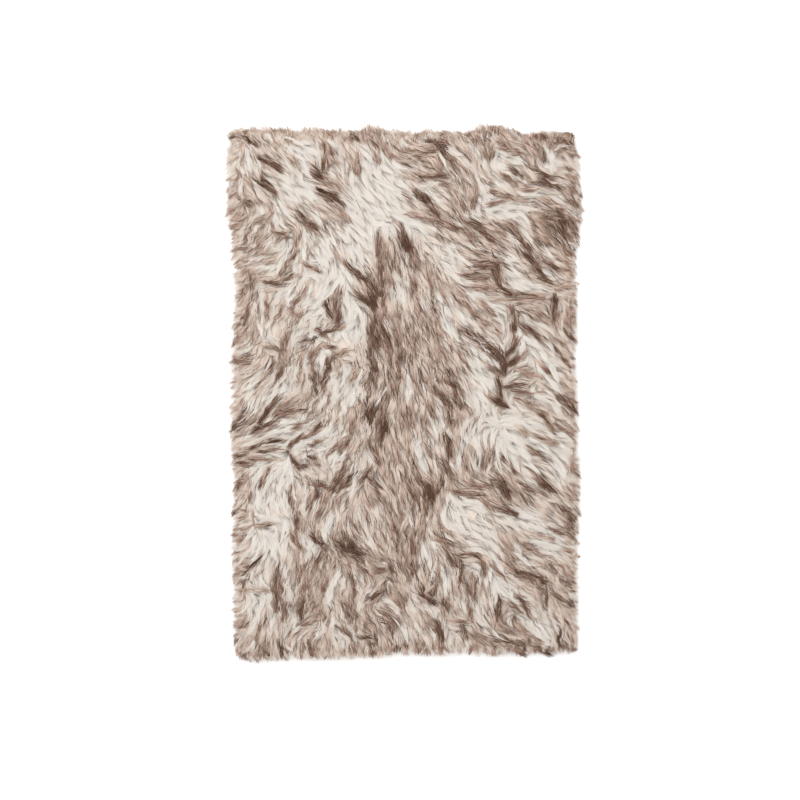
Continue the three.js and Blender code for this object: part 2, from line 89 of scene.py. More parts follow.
# Tufts, where hair runs together and its brown tips gather. A row holds the place of the brown across and
# down, its heading from root to tip in degrees, its length and width, and how dark it is, from 0 to 1.
TUFTS = (
    # Top left.
    (253, 142, -42, 42, 13, .95), (276, 167, -30, 40, 12, .9), (271, 190, -40, 44, 12, .9),
    (309, 224, -40, 44, 13, .92), (334, 200, -33, 50, 10, 1.), (343, 214, -50, 40, 14, .6),
    (246, 203, -15, 34, 8, .8), (260, 204, -60, 14, 6, .7), (277, 141, -55, 30, 8, .55),
    (288, 137, -35, 28, 7, .6), (298, 168, -60, 24, 7, .6), (325, 162, -93, 56, 20, .78),
    (322, 178, -35, 20, 12, .95), (335, 159, -60, 34, 10, .6), (357, 138, -55, 34, 10, .9),
    (357, 171, -85, 36, 14, .7), (372, 143, -60, 36, 12, .65), (385, 151, -62, 40, 12, .68),
    (378, 161, -75, 26, 8, .65), (397, 140, -70, 30, 8, .45), (285, 236, -12, 36, 7, .8),
    (277, 242, -150, 20, 8, .7), (297, 244, -100, 18, 6, .65), (238, 208, -140, 24, 10, .55),
    (262, 221, -150, 30, 5, .65), (247, 238, -115, 30, 6, .7), (262, 243, -135, 24, 6, .65),
    (236, 250, 180, 26, 5, .7), (263, 255, -160, 28, 5, .6), (231, 228, 180, 14, 8, .7),
    (242, 163, -100, 18, 5, .5), (236, 183, -130, 22, 6, .6), (241, 176, -60, 14, 5, .6),
    # Top middle and right.
    (440, 144, -8, 42, 7, .85), (433, 152, 8, 40, 6, .75), (443, 149, -72, 40, 14, .95),
    (450, 158, -50, 28, 7, .8), (445, 134, -60, 24, 10, .8), (440, 167, -75, 22, 12, .6),
    (436, 177, 5, 54, 5, .8), (411, 159, -10, 42, 5, .6), (413, 180, -35, 28, 6, .55),
    (425, 201, -42, 44, 11, .95), (436, 215, -55, 34, 8, .88), (449, 227, -32, 44, 7, .78),
    (426, 219, -15, 42, 5, .6), (469, 134, -45, 24, 9, .75), (500, 131, -45, 24, 8, .8),
    (483, 149, -65, 40, 8, .72), (490, 157, -105, 32, 7, .68), (505, 146, -40, 38, 8, .68),
    (514, 153, -15, 36, 7, .72), (532, 142, -55, 38, 8, .68), (541, 157, -75, 34, 11, .82),
    (552, 142, -60, 30, 7, .7), (569, 143, -45, 32, 12, .95), (563, 151, 190, 34, 5, .8),
    (572, 155, -3, 34, 5, .65), (520, 178, -38, 34, 7, .8), (513, 185, -45, 28, 5, .7),
    (545, 177, -28, 34, 8, .88), (551, 187, -25, 54, 9, .88), (532, 191, 10, 44, 5, .65),
    (577, 190, -50, 34, 8, .7), (503, 196, -18, 46, 7, .78), (498, 203, 15, 50, 5, .65),
    (470, 201, -80, 40, 8, .58), (463, 208, -62, 34, 7, .78), (473, 206, -95, 20, 10, .72),
    (555, 206, -25, 40, 6, .6), (558, 219, -5, 44, 6, .78), (562, 226, -78, 48, 13, .9),
    (573, 236, -55, 44, 8, .74), (567, 249, -52, 46, 8, .76), (577, 208, -45, 22, 8, .72),
    (476, 225, -25, 38, 9, .9), (487, 237, -35, 46, 8, .9), (468, 236, -38, 38, 6, .68),
    (517, 236, -50, 38, 7, .76), (525, 248, -55, 40, 8, .86), (536, 268, -52, 54, 10, .96),
    (546, 281, -20, 30, 7, .88), (553, 267, -30, 34, 7, .82), (502, 234, -40, 26, 5, .55),
    # Middle column.
    (405, 246, -75, 38, 13, 1.), (412, 251, -70, 28, 8, .82), (378, 250, -90, 40, 8, .78),
    (385, 251, -85, 36, 7, .65), (358, 275, -42, 48, 9, .92), (371, 287, -62, 50, 15, .88),
    (380, 284, -98, 54, 13, .84), (374, 305, -60, 28, 15, 1.), (366, 302, -35, 26, 8, .9),
    (384, 303, -100, 32, 8, .72), (393, 286, -70, 30, 8, .55), (414, 289, -72, 32, 9, .74),
    (431, 288, -70, 40, 9, .7), (442, 294, -60, 40, 6, .6), (399, 326, -82, 54, 10, .64),
    (373, 328, -88, 46, 8, .7), (375, 343, -80, 34, 14, .88), (386, 338, -65, 44, 15, .82),
    (374, 366, -72, 40, 11, .94), (399, 366, -86, 62, 5, .8), (423, 324, -70, 54, 11, .6),
    (437, 327, -68, 54, 10, .6), (412, 347, -75, 50, 9, .56), (427, 357, -72, 50, 10, .52),
    (441, 361, -65, 44, 8, .52), (415, 382, -75, 54, 10, .56), (431, 389, -72, 42, 8, .6),
    (453, 388, -62, 34, 7, .84), (443, 399, -50, 34, 8, .87), (466, 365, -60, 28, 6, .76),
    (371, 419, -85, 48, 16, .97), (383, 411, -105, 46, 9, .84), (382, 437, -100, 34, 10, .92),
    (376, 456, -65, 40, 7, .78), (351, 431, -95, 22, 6, .76), (409, 420, -80, 28, 9, .66),
    (433, 414, -75, 24, 8, .76), (450, 418, -95, 36, 9, .86), (448, 446, -82, 46, 10, .92),
    (449, 471, -60, 40, 9, .82), (430, 454, -60, 26, 5, .64), (412, 464, -75, 42, 7, .72),
    (411, 489, -65, 56, 9, .86), (421, 483, -60, 42, 7, .78), (430, 494, -70, 38, 17, .98),
    (438, 488, -108, 32, 8, .86), (426, 509, -88, 32, 8, .76), (420, 528, -88, 50, 8, .56),
    (403, 507, -80, 40, 8, .56), (395, 482, -80, 44, 8, .5), (386, 470, -80, 44, 8, .5),
    # Right of the middle.
    (486, 266, 8, 44, 6, .78), (476, 279, -5, 50, 5, .74), (485, 290, -15, 32, 5, .65),
    (497, 277, -82, 56, 13, .92), (509, 294, -22, 36, 9, .86), (531, 297, -5, 60, 8, .66),
    (524, 301, 2, 54, 4, .6), (570, 287, 5, 32, 6, .64), (513, 324, -95, 42, 8, .86),
    (553, 313, -102, 44, 8, .9), (545, 318, -35, 36, 6, .66), (533, 334, -33, 46, 8, .88),
    (490, 312, -45, 34, 9, .66), (471, 312, -50, 44, 7, .7), (473, 339, -37, 40, 6, .88),
    (491, 326, -35, 58, 6, .66), (489, 345, -38, 56, 7, .88), (495, 355, -38, 48, 10, .92),
    (511, 350, -130, 32, 10, .86), (504, 368, -88, 40, 14, 1.), (495, 371, -35, 32, 7, .86),
    (512, 363, -140, 28, 8, .84), (500, 393, -80, 32, 10, .92), (510, 387, 190, 32, 6, .84),
    (519, 392, 172, 42, 5, .7), (521, 400, 155, 42, 5, .64), (503, 405, -40, 28, 9, .96),
    (524, 372, 160, 44, 4, .62), (548, 373, -45, 22, 6, .78), (567, 364, -50, 22, 6, .78),
    (572, 339, -42, 28, 7, .86), (555, 349, -42, 32, 6, .86), (570, 318, -95, 42, 9, .64),
    (535, 409, -22, 52, 6, .66), (546, 421, -50, 42, 8, .78), (568, 405, -42, 36, 11, .88),
    (575, 412, -60, 20, 9, .9), (568, 390, -45, 44, 7, .64), (565, 430, -25, 36, 6, .74),
    (548, 441, -20, 40, 7, .7), (541, 455, -25, 44, 9, .82), (525, 434, -50, 22, 5, .62),
    (510, 466, -55, 42, 7, .78), (492, 454, -95, 16, 5, .6), (486, 463, -105, 24, 8, .66),
    (466, 466, -80, 28, 7, .64), (547, 486, -42, 46, 16, .98), (534, 492, -28, 42, 8, .82),
    (501, 484, -32, 42, 8, .84), (507, 495, -70, 34, 11, .92), (521, 496, -55, 40, 6, .7),
    (471, 493, -5, 52, 7, .78), (479, 485, -12, 44, 5, .64), (505, 509, -25, 64, 9, .88),
    (489, 506, -50, 36, 8, .62), (567, 512, -48, 48, 10, .88), (577, 511, -50, 30, 7, .74),
    (570, 524, -75, 26, 9, .82), (562, 532, -18, 52, 7, .78), (547, 538, -15, 36, 7, .58),
    (571, 468, -110, 26, 9, .68), (580, 476, -35, 14, 5, .72),
    # Left of the middle.
    (335, 307, -92, 42, 18, .78), (331, 313, -60, 32, 10, .95), (338, 322, -95, 24, 9, .9),
    (330, 331, 188, 44, 5, .88), (323, 335, -30, 16, 6, .82), (305, 342, 190, 26, 5, .87),
    (333, 347, 5, 20, 4, .72), (345, 352, 30, 22, 4, .65), (285, 347, -98, 46, 8, .78),
    (277, 350, -5, 26, 5, .72), (251, 290, -95, 46, 8, .8), (246, 319, -105, 22, 7, .76),
    (267, 312, -90, 44, 4, .62), (270, 284, 175, 28, 5, .87), (287, 280, 200, 44, 5, .74),
    (284, 270, -115, 28, 5, .74), (291, 263, -120, 26, 6, .82), (315, 270, -20, 32, 5, .72),
    (297, 301, -130, 32, 8, .68), (296, 314, -30, 20, 5, .66), (297, 321, -135, 18, 6, .64),
    (280, 316, -125, 18, 5, .64), (235, 342, -110, 24, 6, .68), (240, 361, 180, 46, 5, .74),
    (271, 369, -125, 20, 6, .74), (279, 378, -105, 26, 6, .78), (300, 372, -92, 44, 5, .68),
    (314, 372, -72, 54, 6, .8), (327, 373, -108, 50, 6, .84), (315, 388, -75, 30, 9, .87),
    (324, 388, -100, 26, 7, .78), (314, 354, -140, 24, 6, .68), (338, 373, -100, 28, 5, .64),
    (353, 380, -110, 30, 5, .64), (240, 418, -120, 50, 7, .92), (235, 430, -150, 26, 9, 1.),
    (267, 413, -124, 64, 9, .94), (260, 428, -150, 42, 10, .95), (284, 412, 190, 44, 8, .74),
    (285, 404, -140, 32, 7, .64), (259, 446, -155, 40, 11, .98), (270, 450, 180, 56, 4, .82),
    (238, 455, 192, 28, 7, .87), (238, 464, 175, 28, 6, .84), (260, 459, 175, 46, 5, .68),
    (292, 444, -140, 26, 5, .87), (303, 437, -160, 36, 5, .74), (314, 432, -140, 22, 5, .78),
    (315, 443, -160, 26, 6, .74), (297, 426, -150, 28, 5, .74), (331, 452, -140, 28, 4, .66),
    (343, 448, -130, 30, 5, .78), (341, 470, -115, 58, 6, .7), (335, 485, -130, 36, 7, .82),
    (324, 486, -5, 38, 5, .8), (299, 466, -50, 22, 6, .92), (307, 466, 10, 12, 5, .84),
    (316, 461, -50, 26, 5, .82), (345, 484, -135, 46, 9, .87), (364, 476, -140, 38, 6, .82),
    (375, 484, -40, 32, 6, .87), (383, 500, -60, 30, 7, .74),
    # Bottom left.
    (238, 488, -108, 32, 6, .84), (263, 482, -110, 34, 6, .86), (251, 490, -91, 60, 4, .64),
    (268, 523, 15, 26, 4, .74), (242, 529, 192, 26, 4, .68), (291, 499, -88, 32, 7, .78),
    (297, 519, -82, 42, 9, .88), (316, 495, -110, 32, 6, .78), (308, 506, -110, 18, 7, .7),
    (319, 510, -112, 36, 6, .66), (298, 543, -65, 36, 9, .74), (321, 542, -42, 38, 9, .96),
    (320, 557, -120, 38, 5, .88), (353, 550, -18, 50, 7, 1.), (347, 546, -70, 22, 14, .87),
    (364, 566, -58, 38, 5, .88), (384, 569, 8, 26, 4, .87), (392, 573, -80, 14, 5, .82),
    (252, 564, -138, 36, 6, .9), (276, 583, -92, 38, 7, .82), (281, 591, -92, 32, 9, .78),
    (276, 606, -90, 26, 7, .82), (284, 613, -85, 32, 9, .78), (262, 590, 0, 34, 4, .64),
    (302, 611, -97, 36, 9, .84), (306, 622, 200, 36, 4, .7), (311, 587, -90, 30, 5, .6),
    (324, 588, -105, 26, 6, .82), (355, 591, -88, 28, 6, .78), (370, 597, 210, 30, 5, .92),
    (350, 614, -62, 28, 5, .88), (356, 626, -80, 26, 6, .74), (348, 633, -45, 30, 6, .78),
    (369, 636, 0, 26, 4, .82), (377, 641, -85, 18, 5, .87), (372, 654, -85, 18, 9, .82),
    (258, 637, -100, 22, 6, .64), (240, 626, -130, 18, 6, .64), (268, 657, -100, 14, 5, .9),
    (245, 659, -95, 12, 5, .9), (282, 656, -90, 16, 5, .9), (312, 653, -80, 18, 6, .87),
    # Bottom right.
    (395, 538, -75, 34, 7, .72), (413, 548, -90, 30, 8, .77), (415, 577, -80, 44, 8, .86),
    (429, 597, -42, 42, 11, .98), (435, 587, -95, 26, 7, .78), (446, 607, -80, 22, 10, .84),
    (446, 542, -35, 30, 6, .74), (452, 560, -58, 46, 7, .8), (458, 577, -98, 34, 9, .96),
    (471, 553, 5, 24, 5, .74), (480, 557, -30, 14, 5, .82), (484, 570, -90, 30, 7, .76),
    (466, 586, -62, 44, 9, .78), (473, 592, -90, 36, 9, .66), (468, 613, -92, 26, 4, .7),
    (434, 625, -60, 26, 6, .68), (440, 634, -75, 36, 9, .92), (441, 649, -90, 22, 6, .74),
    (463, 621, -3, 28, 4, .74), (466, 634, -75, 24, 6, .78), (418, 650, -85, 20, 7, .7),
    (508, 545, -50, 34, 9, .6), (500, 573, -45, 42, 6, .66), (523, 574, -25, 50, 7, .76),
    (537, 578, -20, 46, 8, .93), (541, 587, -50, 36, 12, .7), (546, 597, -100, 36, 7, .8),
    (525, 601, -10, 16, 7, .86), (528, 612, -60, 30, 7, .8), (519, 610, -40, 18, 4, .8),
    (497, 615, -97, 28, 7, .87), (505, 625, -42, 42, 7, .72), (478, 640, -40, 38, 6, .64),
    (490, 641, -35, 38, 7, .7), (515, 642, -12, 46, 7, .88), (517, 650, -20, 46, 9, .8),
    (546, 652, -15, 44, 9, .98), (559, 639, -97, 32, 6, .87), (568, 647, -60, 26, 9, .74),
    (534, 637, -32, 42, 5, .64), (556, 574, -50, 46, 6, .66), (567, 575, -58, 50, 8, .74),
    (561, 598, -30, 38, 5, .74), (569, 603, -35, 38, 8, .84), (530, 547, -28, 46, 5, .6),
)

# Places where the hair parts and its cream lower part shows. A row is as for a tuft, but its last number
# says how pale the place is. A minus gives a stretch that is browner than the rest.
PATCHES = (
    (306, 149, -35, 62, 36, .9), (311, 192, -40, 62, 40, .85), (231, 163, -150, 34, 26, .8),
    (385, 185, -50, 80, 60, .9), (372, 212, -45, 90, 50, .95), (398, 222, -40, 60, 50, .9),
    (505, 163, -20, 60, 30, .8), (562, 166, -8, 60, 26, .85), (505, 211, -12, 92, 28, .95),
    (550, 200, -25, 50, 20, .6), (283, 253, -130, 50, 34, .8), (293, 217, -40, 30, 22, .7),
    (313, 312, -140, 44, 34, .75), (330, 280, -120, 50, 40, .7), (361, 268, -50, 34, 18, .8),
    (399, 303, -90, 42, 30, .8), (356, 321, -95, 56, 30, .85), (350, 338, -90, 40, 20, .6),
    (453, 320, -70, 46, 26, .8), (522, 284, -15, 50, 18, .9), (513, 266, -30, 34, 24, .7),
    (493, 304, -20, 70, 20, .85), (456, 268, -45, 70, 30, .6), (272, 408, -130, 60, 16, .7),
    (280, 437, 180, 62, 16, .85), (283, 458, 180, 46, 14, .8), (283, 492, -90, 96, 40, .95),
    (278, 540, -100, 60, 34, .75), (311, 551, -80, 36, 24, .6), (327, 530, -120, 34, 20, .7),
    (407, 399, -85, 46, 16, .7), (392, 433, -85, 34, 14, .7), (347, 397, -110, 34, 22, .6),
    (425, 461, -75, 50, 18, .75), (366, 464, -95, 34, 18, .7), (499, 425, -40, 90, 66, .95),
    (487, 376, -40, 44, 30, .85), (556, 408, -45, 30, 18, .7), (564, 456, -30, 40, 26, .75),
    (556, 376, -40, 50, 34, .7), (468, 514, -50, 96, 54, .85), (408, 526, -90, 30, 16, .5),
    (432, 561, -85, 50, 20, .65), (531, 524, -25, 60, 30, .75), (560, 549, -20, 70, 30, .8),
    (500, 587, -55, 84, 40, .8), (545, 628, -50, 60, 26, .75), (444, 588, -80, 44, 20, .5),
    (263, 605, -110, 40, 30, .85), (382, 605, -20, 50, 20, .7), (343, 650, -90, 30, 20, .6),
    (386, 579, -90, 20, 18, .9), (370, 645, -90, 16, 16, .9), (471, 571, -60, 20, 16, .8),
    (511, 614, -50, 24, 14, .8), (454, 634, -60, 22, 14, .8), (232, 410, -130, 40, 14, .6),
    (540, 395, -30, 50, 16, .5), (480, 405, -60, 40, 20, .6), (527, 462, -30, 50, 20, .5),
    (385, 350, -80, 150, 70, -.35), (385, 420, -85, 90, 60, -.3), (420, 485, -75, 90, 70, -.3),
    (440, 330, -70, 120, 70, -.15), (395, 560, -85, 150, 110, -.25), (550, 200, -40, 120, 70, -.15),
    (320, 600, -85, 130, 70, -.25), (500, 500, -30, 130, 40, -.2), (560, 590, -50, 110, 50, -.15),
    (290, 360, -110, 130, 80, -.1), (460, 560, -70, 90, 60, -.2), (548, 143, -30, 90, 40, -.25),
    (560, 240, -60, 80, 60, -.3), (410, 268, -70, 70, 60, -.3), (500, 266, -60, 60, 60, -.25),
    (452, 390, -75, 80, 50, -.25), (425, 430, -80, 80, 70, -.25), (340, 532, -60, 60, 50, -.2),
    (367, 566, -60, 70, 50, -.25), (515, 563, -50, 60, 40, -.25), (380, 628, -90, 70, 60, -.2),
    (500, 628, -50, 70, 50, -.2), (365, 238, -50, 60, 60, .6), (300, 285, -110, 110, 70, .25),
    (330, 352, -100, 90, 80, .3), (535, 355, -45, 90, 50, .3), (337, 415, -110, 60, 60, .3),
    (300, 447, -140, 110, 50, .35), (505, 447, -50, 80, 50, .3), (258, 474, -110, 80, 50, .35),
    (250, 540, -110, 80, 50, .25), (262, 566, -110, 80, 60, .3), (335, 592, -90, 60, 50, .25),
    (518, 146, -30, 60, 40, -.3), (336, 196, -45, 70, 40, -.45), (552, 236, -60, 80, 50, -.35),
    (546, 176, -25, 50, 30, -.2), (498, 268, -60, 80, 40, -.35), (484, 298, -15, 50, 40, -.4),
    (395, 266, -75, 50, 40, -.3), (398, 387, -85, 60, 40, -.3), (455, 388, -70, 70, 50, -.4),
    (366, 415, -85, 50, 40, -.35), (468, 415, -50, 60, 40, -.3), (398, 445, -85, 50, 40, -.3),
    (455, 490, -70, 80, 40, -.25), (486, 565, -50, 50, 40, -.3), (366, 595, -80, 50, 50, -.25),
    (440, 598, -75, 80, 50, -.25), (395, 627, -90, 60, 50, -.25), (513, 622, -50, 70, 40, -.25),
    (302, 146, -35, 50, 40, .4), (366, 250, -50, 60, 30, .25), (425, 236, -50, 50, 30, .3),
    (335, 296, -110, 40, 40, .25), (547, 296, -20, 50, 30, .35), (366, 340, -85, 80, 30, .25),
    (495, 356, -40, 60, 40, .25), (246, 416, -130, 40, 40, .25), (484, 446, -45, 50, 30, .3),
    (275, 386, -120, 40, 40, .2), (229, 136, -45, 30, 24, .8), (306, 146, -35, 50, 40, .3),
    (574, 143, -30, 40, 40, -.35), (244, 176, -45, 40, 40, .2), (362, 285, -50, 50, 40, .25),
    (404, 236, -70, 50, 40, .25), (276, 296, -110, 50, 30, .25), (275, 354, -110, 50, 30, .25),
    (366, 356, -85, 60, 30, .2), (335, 416, -110, 50, 30, -.3), (304, 416, -130, 50, 30, -.2),
    (276, 445, 180, 40, 30, .2), (455, 325, -70, 40, 30, .2), (366, 475, -85, 50, 30, .3),
    (422, 474, -75, 50, 30, .4), (455, 505, -60, 40, 30, -.35), (548, 625, -50, 40, 30, -.2),
    (485, 596, -55, 50, 30, -.25), (546, 597, -50, 40, 30, .15), (244, 625, -110, 40, 40, .3),
    (335, 626, -90, 50, 30, .15), (546, 625, -50, 40, 30, -.15), (300, 140, -35, 60, 24, .5),
    (395, 140, -35, 50, 24, .4), (240, 172, -45, 40, 30, .3), (272, 225, -60, 50, 50, .3),
    (425, 238, -60, 50, 36, .3), (312, 355, -110, 60, 36, .35), (274, 446, 180, 50, 24, .35),
    (274, 566, -100, 50, 36, .25), (304, 384, -110, 40, 30, .2), (572, 146, -30, 40, 36, -.35),
    (455, 176, -40, 50, 30, -.3), (572, 236, -60, 40, 30, -.3), (516, 264, -40, 40, 30, -.25),
    (244, 296, -130, 40, 30, -.35), (366, 386, -85, 40, 30, -.35), (488, 414, -50, 40, 30, -.2),
    (456, 446, -70, 40, 30, -.25), (456, 596, -70, 40, 30, -.2), (335, 595, -90, 40, 30, .2),
    (545, 535, -40, 40, 30, -.2),
)

# Whorls, from whose middle the hair lies outwards all round: place across and down, and radius.
WHORLS = (
    (499, 424, 44), (386, 579, 14), (370, 644, 12), (471, 571, 14),
    (511, 614, 14), (454, 634, 13), (311, 458, 16),
)

# Stretches where the hair waves instead of lying straight: place across and down, radius and swing.
WAVES = (
    (250, 235, 50, 1.6), (275, 300, 90, 1.6), (310, 370, 80, 1.9), (320, 440, 80, 2.2),
    (350, 380, 50, 1.6), (300, 590, 90, 1.7), (350, 620, 60, 1.8), (530, 590, 90, 1.8),
    (420, 600, 70, 1.4), (540, 180, 60, 1.0), (480, 180, 60, 0.9),
)

# The hair's colours as the eye sees them (sRGB), from root to tip, and those of the ground cloth's knit.
CREAM = (0.920, 0.906, 0.885)
BEIGE = (0.885, 0.820, 0.768)
BROWN = (0.550, 0.410, 0.328)
# DARK is the gathered tips' own dye and, where hair comes out from under the lock above, painted shade.
DARK = (0.290, 0.190, 0.138)
# The knit's hollow colour is darker by painted shade.
KNIT_SHADED_HOLLOW = (0.78, 0.73, 0.67)
KNIT_LOOP = (0.90, 0.87, 0.82)


def linear(colour):
    """An sRGB colour as the linear one that a shader takes, with full alpha."""
    return tuple(c / 12.92 if c <= 0.04045 else ((c + 0.055) / 1.055) ** 2.4 for c in colour) + (1.0,)


def length_setting(name, description, default):
    """A setting that is a length in metres."""
    return FloatProperty(name=name, description=description, default=default, unit="LENGTH")


def colour_setting(name, description, colour):
    """A setting that is a colour."""
    return FloatVectorProperty(
        name=name, description=description, subtype="COLOR", size=4, default=linear(colour))


class PileProperties(bpy.types.PropertyGroup):
    """How long, how high and how thick the hair is."""

    hair_length: length_setting("Hair length", "From the ground cloth to the tip", 0.050)
    level: length_setting("Pile level", "Height of the combed hair over the floor", 0.029)
    strand_width: length_setting("Strand width", "Width of one strand of hairs", 0.00125)
    lock_spacing: length_setting("Lock spacing", "Distance between neighbouring locks", 0.0168)
    wisps_per_lock: IntProperty(
        name="Wisps per lock", description="Wisps of hair in one little lock", default=7)
    wisp_spacing: length_setting("Stray wisp spacing", "Distance between the thin brown wisps", 0.0048)
    rim_spacing: length_setting("Rim lock spacing", "Distance between locks round the rim", 0.0074)


class ColourProperties(bpy.types.PropertyGroup):
    """The hair's colours from root to tip."""

    cream: colour_setting("Root", "Colour of the hair at its root", CREAM)
    beige: colour_setting("Middle", "Colour half way", BEIGE)
    brown: colour_setting("Tip", "Colour of the tip", BROWN)
    # The gathered tips' colour is also painted shade under the overlying locks.
    dark: colour_setting("Gathered tips", "Colour where tips gather", DARK)


class StageProperties(bpy.types.PropertyGroup):
    """The floor, the light and the camera."""

    lens: FloatProperty(name="Lens", description="Focal length in mm", default=85.0)
    lamp_power: FloatProperty(
        name="Lamp power", description="Power of the soft lamp", default=40.0, unit="POWER")
    sky: FloatProperty(name="Sky", description="Strength of the even light all round", default=1.0)


# Charts: what varies over the rug's plan.

CHART_STEP = 0.003
CHART_MARGIN = 0.03

# Drifts: how many chance numbers lie along each side of their grid, and where on it the rug's middle is.
# Then for each use the size, cell and seed of its drifts.
DRIFT_GRID = 256
DRIFT_MIDDLE = 80.0
LEVEL_DRIFTS = ((0.0022, 0.030, 11), (0.0016, 0.016, 12))
TONE_DRIFTS = ((0.07, 0.045, 21), (0.09, 0.018, 22))
WOOL_DRIFTS = ((0.0012, 0.011, 31), (0.0008, 0.005, 32))
CLOTH_DRIFTS = ((0.00015, 0.02, 41),)

# Combing: how near a row of the tables counts in full, and the weight of a parting beside a tuft's 1.
COMB_NEAR = 0.011
PARTING_WEIGHT = 0.8

# Level: how far inside the hair line the pile is at its full height, its height at the line, what a tuft
# adds and a parting takes, and the range that the relief is kept to.
EDGE_ROUND = 0.056
EDGE_LEVEL = 0.0022
TUFT_RISE, PARTING_SINK = 0.0042, 0.0045
RELIEF_RANGE = (-0.006, 0.0085)

# Tone: its even start, what a tuft adds and a parting takes, and the most that it may be.
TONE_START = 0.130
TUFT_TONE, PARTING_TONE = 0.27, 0.50
TONE_MOST = 0.9

# Waving: the swing everywhere, what the table's swings are multiplied by, and the most that it may be.
SWING_START = 0.0005
SWING_GAIN = 1.4
SWING_MOST = 0.0034


class Chart:
    """Values on an even grid over the rug's plan, read between its points by bilinear weights."""

    def __init__(self, values):
        self.values = values

    def at(self, x, y):
        """The value at each place: the four grid values round it, weighted by nearness."""
        rows, columns = self.values.shape
        i = np.clip((x + HALF_WIDTH + CHART_MARGIN) / CHART_STEP, 0, columns - 1.001)
        j = np.clip((y + HALF_LENGTH + CHART_MARGIN) / CHART_STEP, 0, rows - 1.001)
        i0, j0 = i.astype(int), j.astype(int)
        fi, fj = i - i0, j - j0
        v = self.values
        lower = v[j0, i0] * (1 - fi) + v[j0, i0 + 1] * fi
        upper = v[j0 + 1, i0] * (1 - fi) + v[j0 + 1, i0 + 1] * fi
        return lower * (1 - fj) + upper * fj


def chart_grid():
    """The places of the chart's points, as two arrays."""
    x = np.arange(-HALF_WIDTH - CHART_MARGIN, HALF_WIDTH + CHART_MARGIN + CHART_STEP, CHART_STEP)
    y = np.arange(-HALF_LENGTH - CHART_MARGIN, HALF_LENGTH + CHART_MARGIN + CHART_STEP, CHART_STEP)
    return np.meshgrid(x, y)


def columns_of(table):
    """A table's columns as arrays, with the places turned from pixels into metres."""
    columns = [np.array(column, float) for column in zip(*table)]
    columns[0] = (columns[0] - MIDDLE_ACROSS) * PIXEL
    columns[1] = (MIDDLE_DOWN - columns[1]) * PIXEL
    return columns


def smooth(share):
    """Eases a share from 0 to 1: 3 s^2 - 2 s^3."""
    s = np.clip(share, 0.0, 1.0)
    return s * s * (3 - 2 * s)


def drift(x, y, cell, seed):
    """Soft random values from -1 to 1: chance numbers on a grid of the given cell, eased between."""
    grid = np.random.default_rng(seed).uniform(-1, 1, (DRIFT_GRID, DRIFT_GRID))
    i, j = x / cell + DRIFT_MIDDLE, y / cell + DRIFT_MIDDLE
    i0, j0 = np.floor(i).astype(int), np.floor(j).astype(int)
    fi, fj = smooth(i - i0), smooth(j - j0)
    i0, j0 = i0 % (DRIFT_GRID - 1), j0 % (DRIFT_GRID - 1)
    lower = grid[j0, i0] * (1 - fi) + grid[j0, i0 + 1] * fi
    upper = grid[j0 + 1, i0] * (1 - fi) + grid[j0 + 1, i0 + 1] * fi
    return lower * (1 - fj) + upper * fj


def drifting(x, y, start, drifts):
    """A start value with drifts added to it, each at its own size."""
    for size, cell, seed in drifts:
        start = start + size * drift(x, y, cell, seed)
    return start


def side_depths(x, y):
    """How far inside the hair line of each side a place lies: the side's own line is the nominal one plus
    its stand-out, eased between the steps of its row."""
    def line(side, share):
        steps = np.array(HAIR_LINE[side]) / MM_PER_M
        place = np.clip(share, 0, 1) * (len(steps) - 1)
        low = np.minimum(place.astype(int), len(steps) - 2)
        ease = smooth(place - low)
        return steps[low] * (1 - ease) + steps[low + 1] * ease

    from_top = (HALF_LENGTH - y) / (2 * HALF_LENGTH)
    from_left = (x + HALF_WIDTH) / (2 * HALF_WIDTH)
    return {
        "left": x + HALF_WIDTH + line("left", from_top),
        "right": HALF_WIDTH + line("right", from_top) - x,
        "top": HALF_LENGTH + line("top", from_left) - y,
        "bottom": y + HALF_LENGTH + line("bottom", from_left),
    }


def inset(x, y):
    """How far inside the hair line a place lies, less near the corners, which are rounded off."""
    depths = side_depths(x, y)
    across = np.minimum(depths["left"], depths["right"])
    along = np.minimum(depths["top"], depths["bottom"])
    cut = DIAGONAL * (across + along) - CORNER_DRAW
    return np.minimum(np.minimum(across, along), cut)


def soft_form(x, y, row):
    """1 at the middle of a long form, falling off as a bell along and across its heading."""
    middle_x, middle_y, heading, length, width = row
    turn = math.radians(heading)
    dx, dy = x - middle_x, y - middle_y
    along = (dx * math.cos(turn) + dy * math.sin(turn)) / (length / (2 * MM_PER_M))
    across = (dy * math.cos(turn) - dx * math.sin(turn)) / (width / (2 * MM_PER_M))
    return np.exp(-along * along - across * across)


def comb_charts():
    """The combing: each place takes the headings of the tufts and partings near it, weighted by the inverse
    square of their squared distance, then lies outwards in a whorl and towards the rim at the edge."""
    x, y = chart_grid()
    cosine, sine = np.zeros_like(x), np.zeros_like(x)
    for table, weight in ((TUFTS, 1.0), (PATCHES, PARTING_WEIGHT)):
        for middle_x, middle_y, heading, _, _, depth in zip(*columns_of(table)):
            if depth < 0:
                continue
            near = weight / (COMB_NEAR ** 2 + (x - middle_x) ** 2 + (y - middle_y) ** 2) ** 2
            cosine += near * math.cos(math.radians(heading))
            sine += near * math.sin(math.radians(heading))
    size = np.hypot(cosine, sine) + 1e-12
    cosine, sine = cosine / size, sine / size
    for middle_x, middle_y, radius in zip(*columns_of(WHORLS)):
        dx, dy = x - middle_x, y - middle_y
        far = np.hypot(dx, dy) + 1e-6
        share = np.exp(-(far / (radius / MM_PER_M)) ** 2)
        cosine = cosine * (1 - share) + share * dx / far
        sine = sine * (1 - share) + share * dy / far
    for side, depth in side_depths(x, y).items():
        lie = RIM_LIE[side]
        share = 1 - smooth(depth / lie.depth)
        cosine = cosine * (1 - share) + share * math.cos(math.radians(lie.heading))
        sine = sine * (1 - share) + share * math.sin(math.radians(lie.heading))
    return Chart(cosine), Chart(sine)


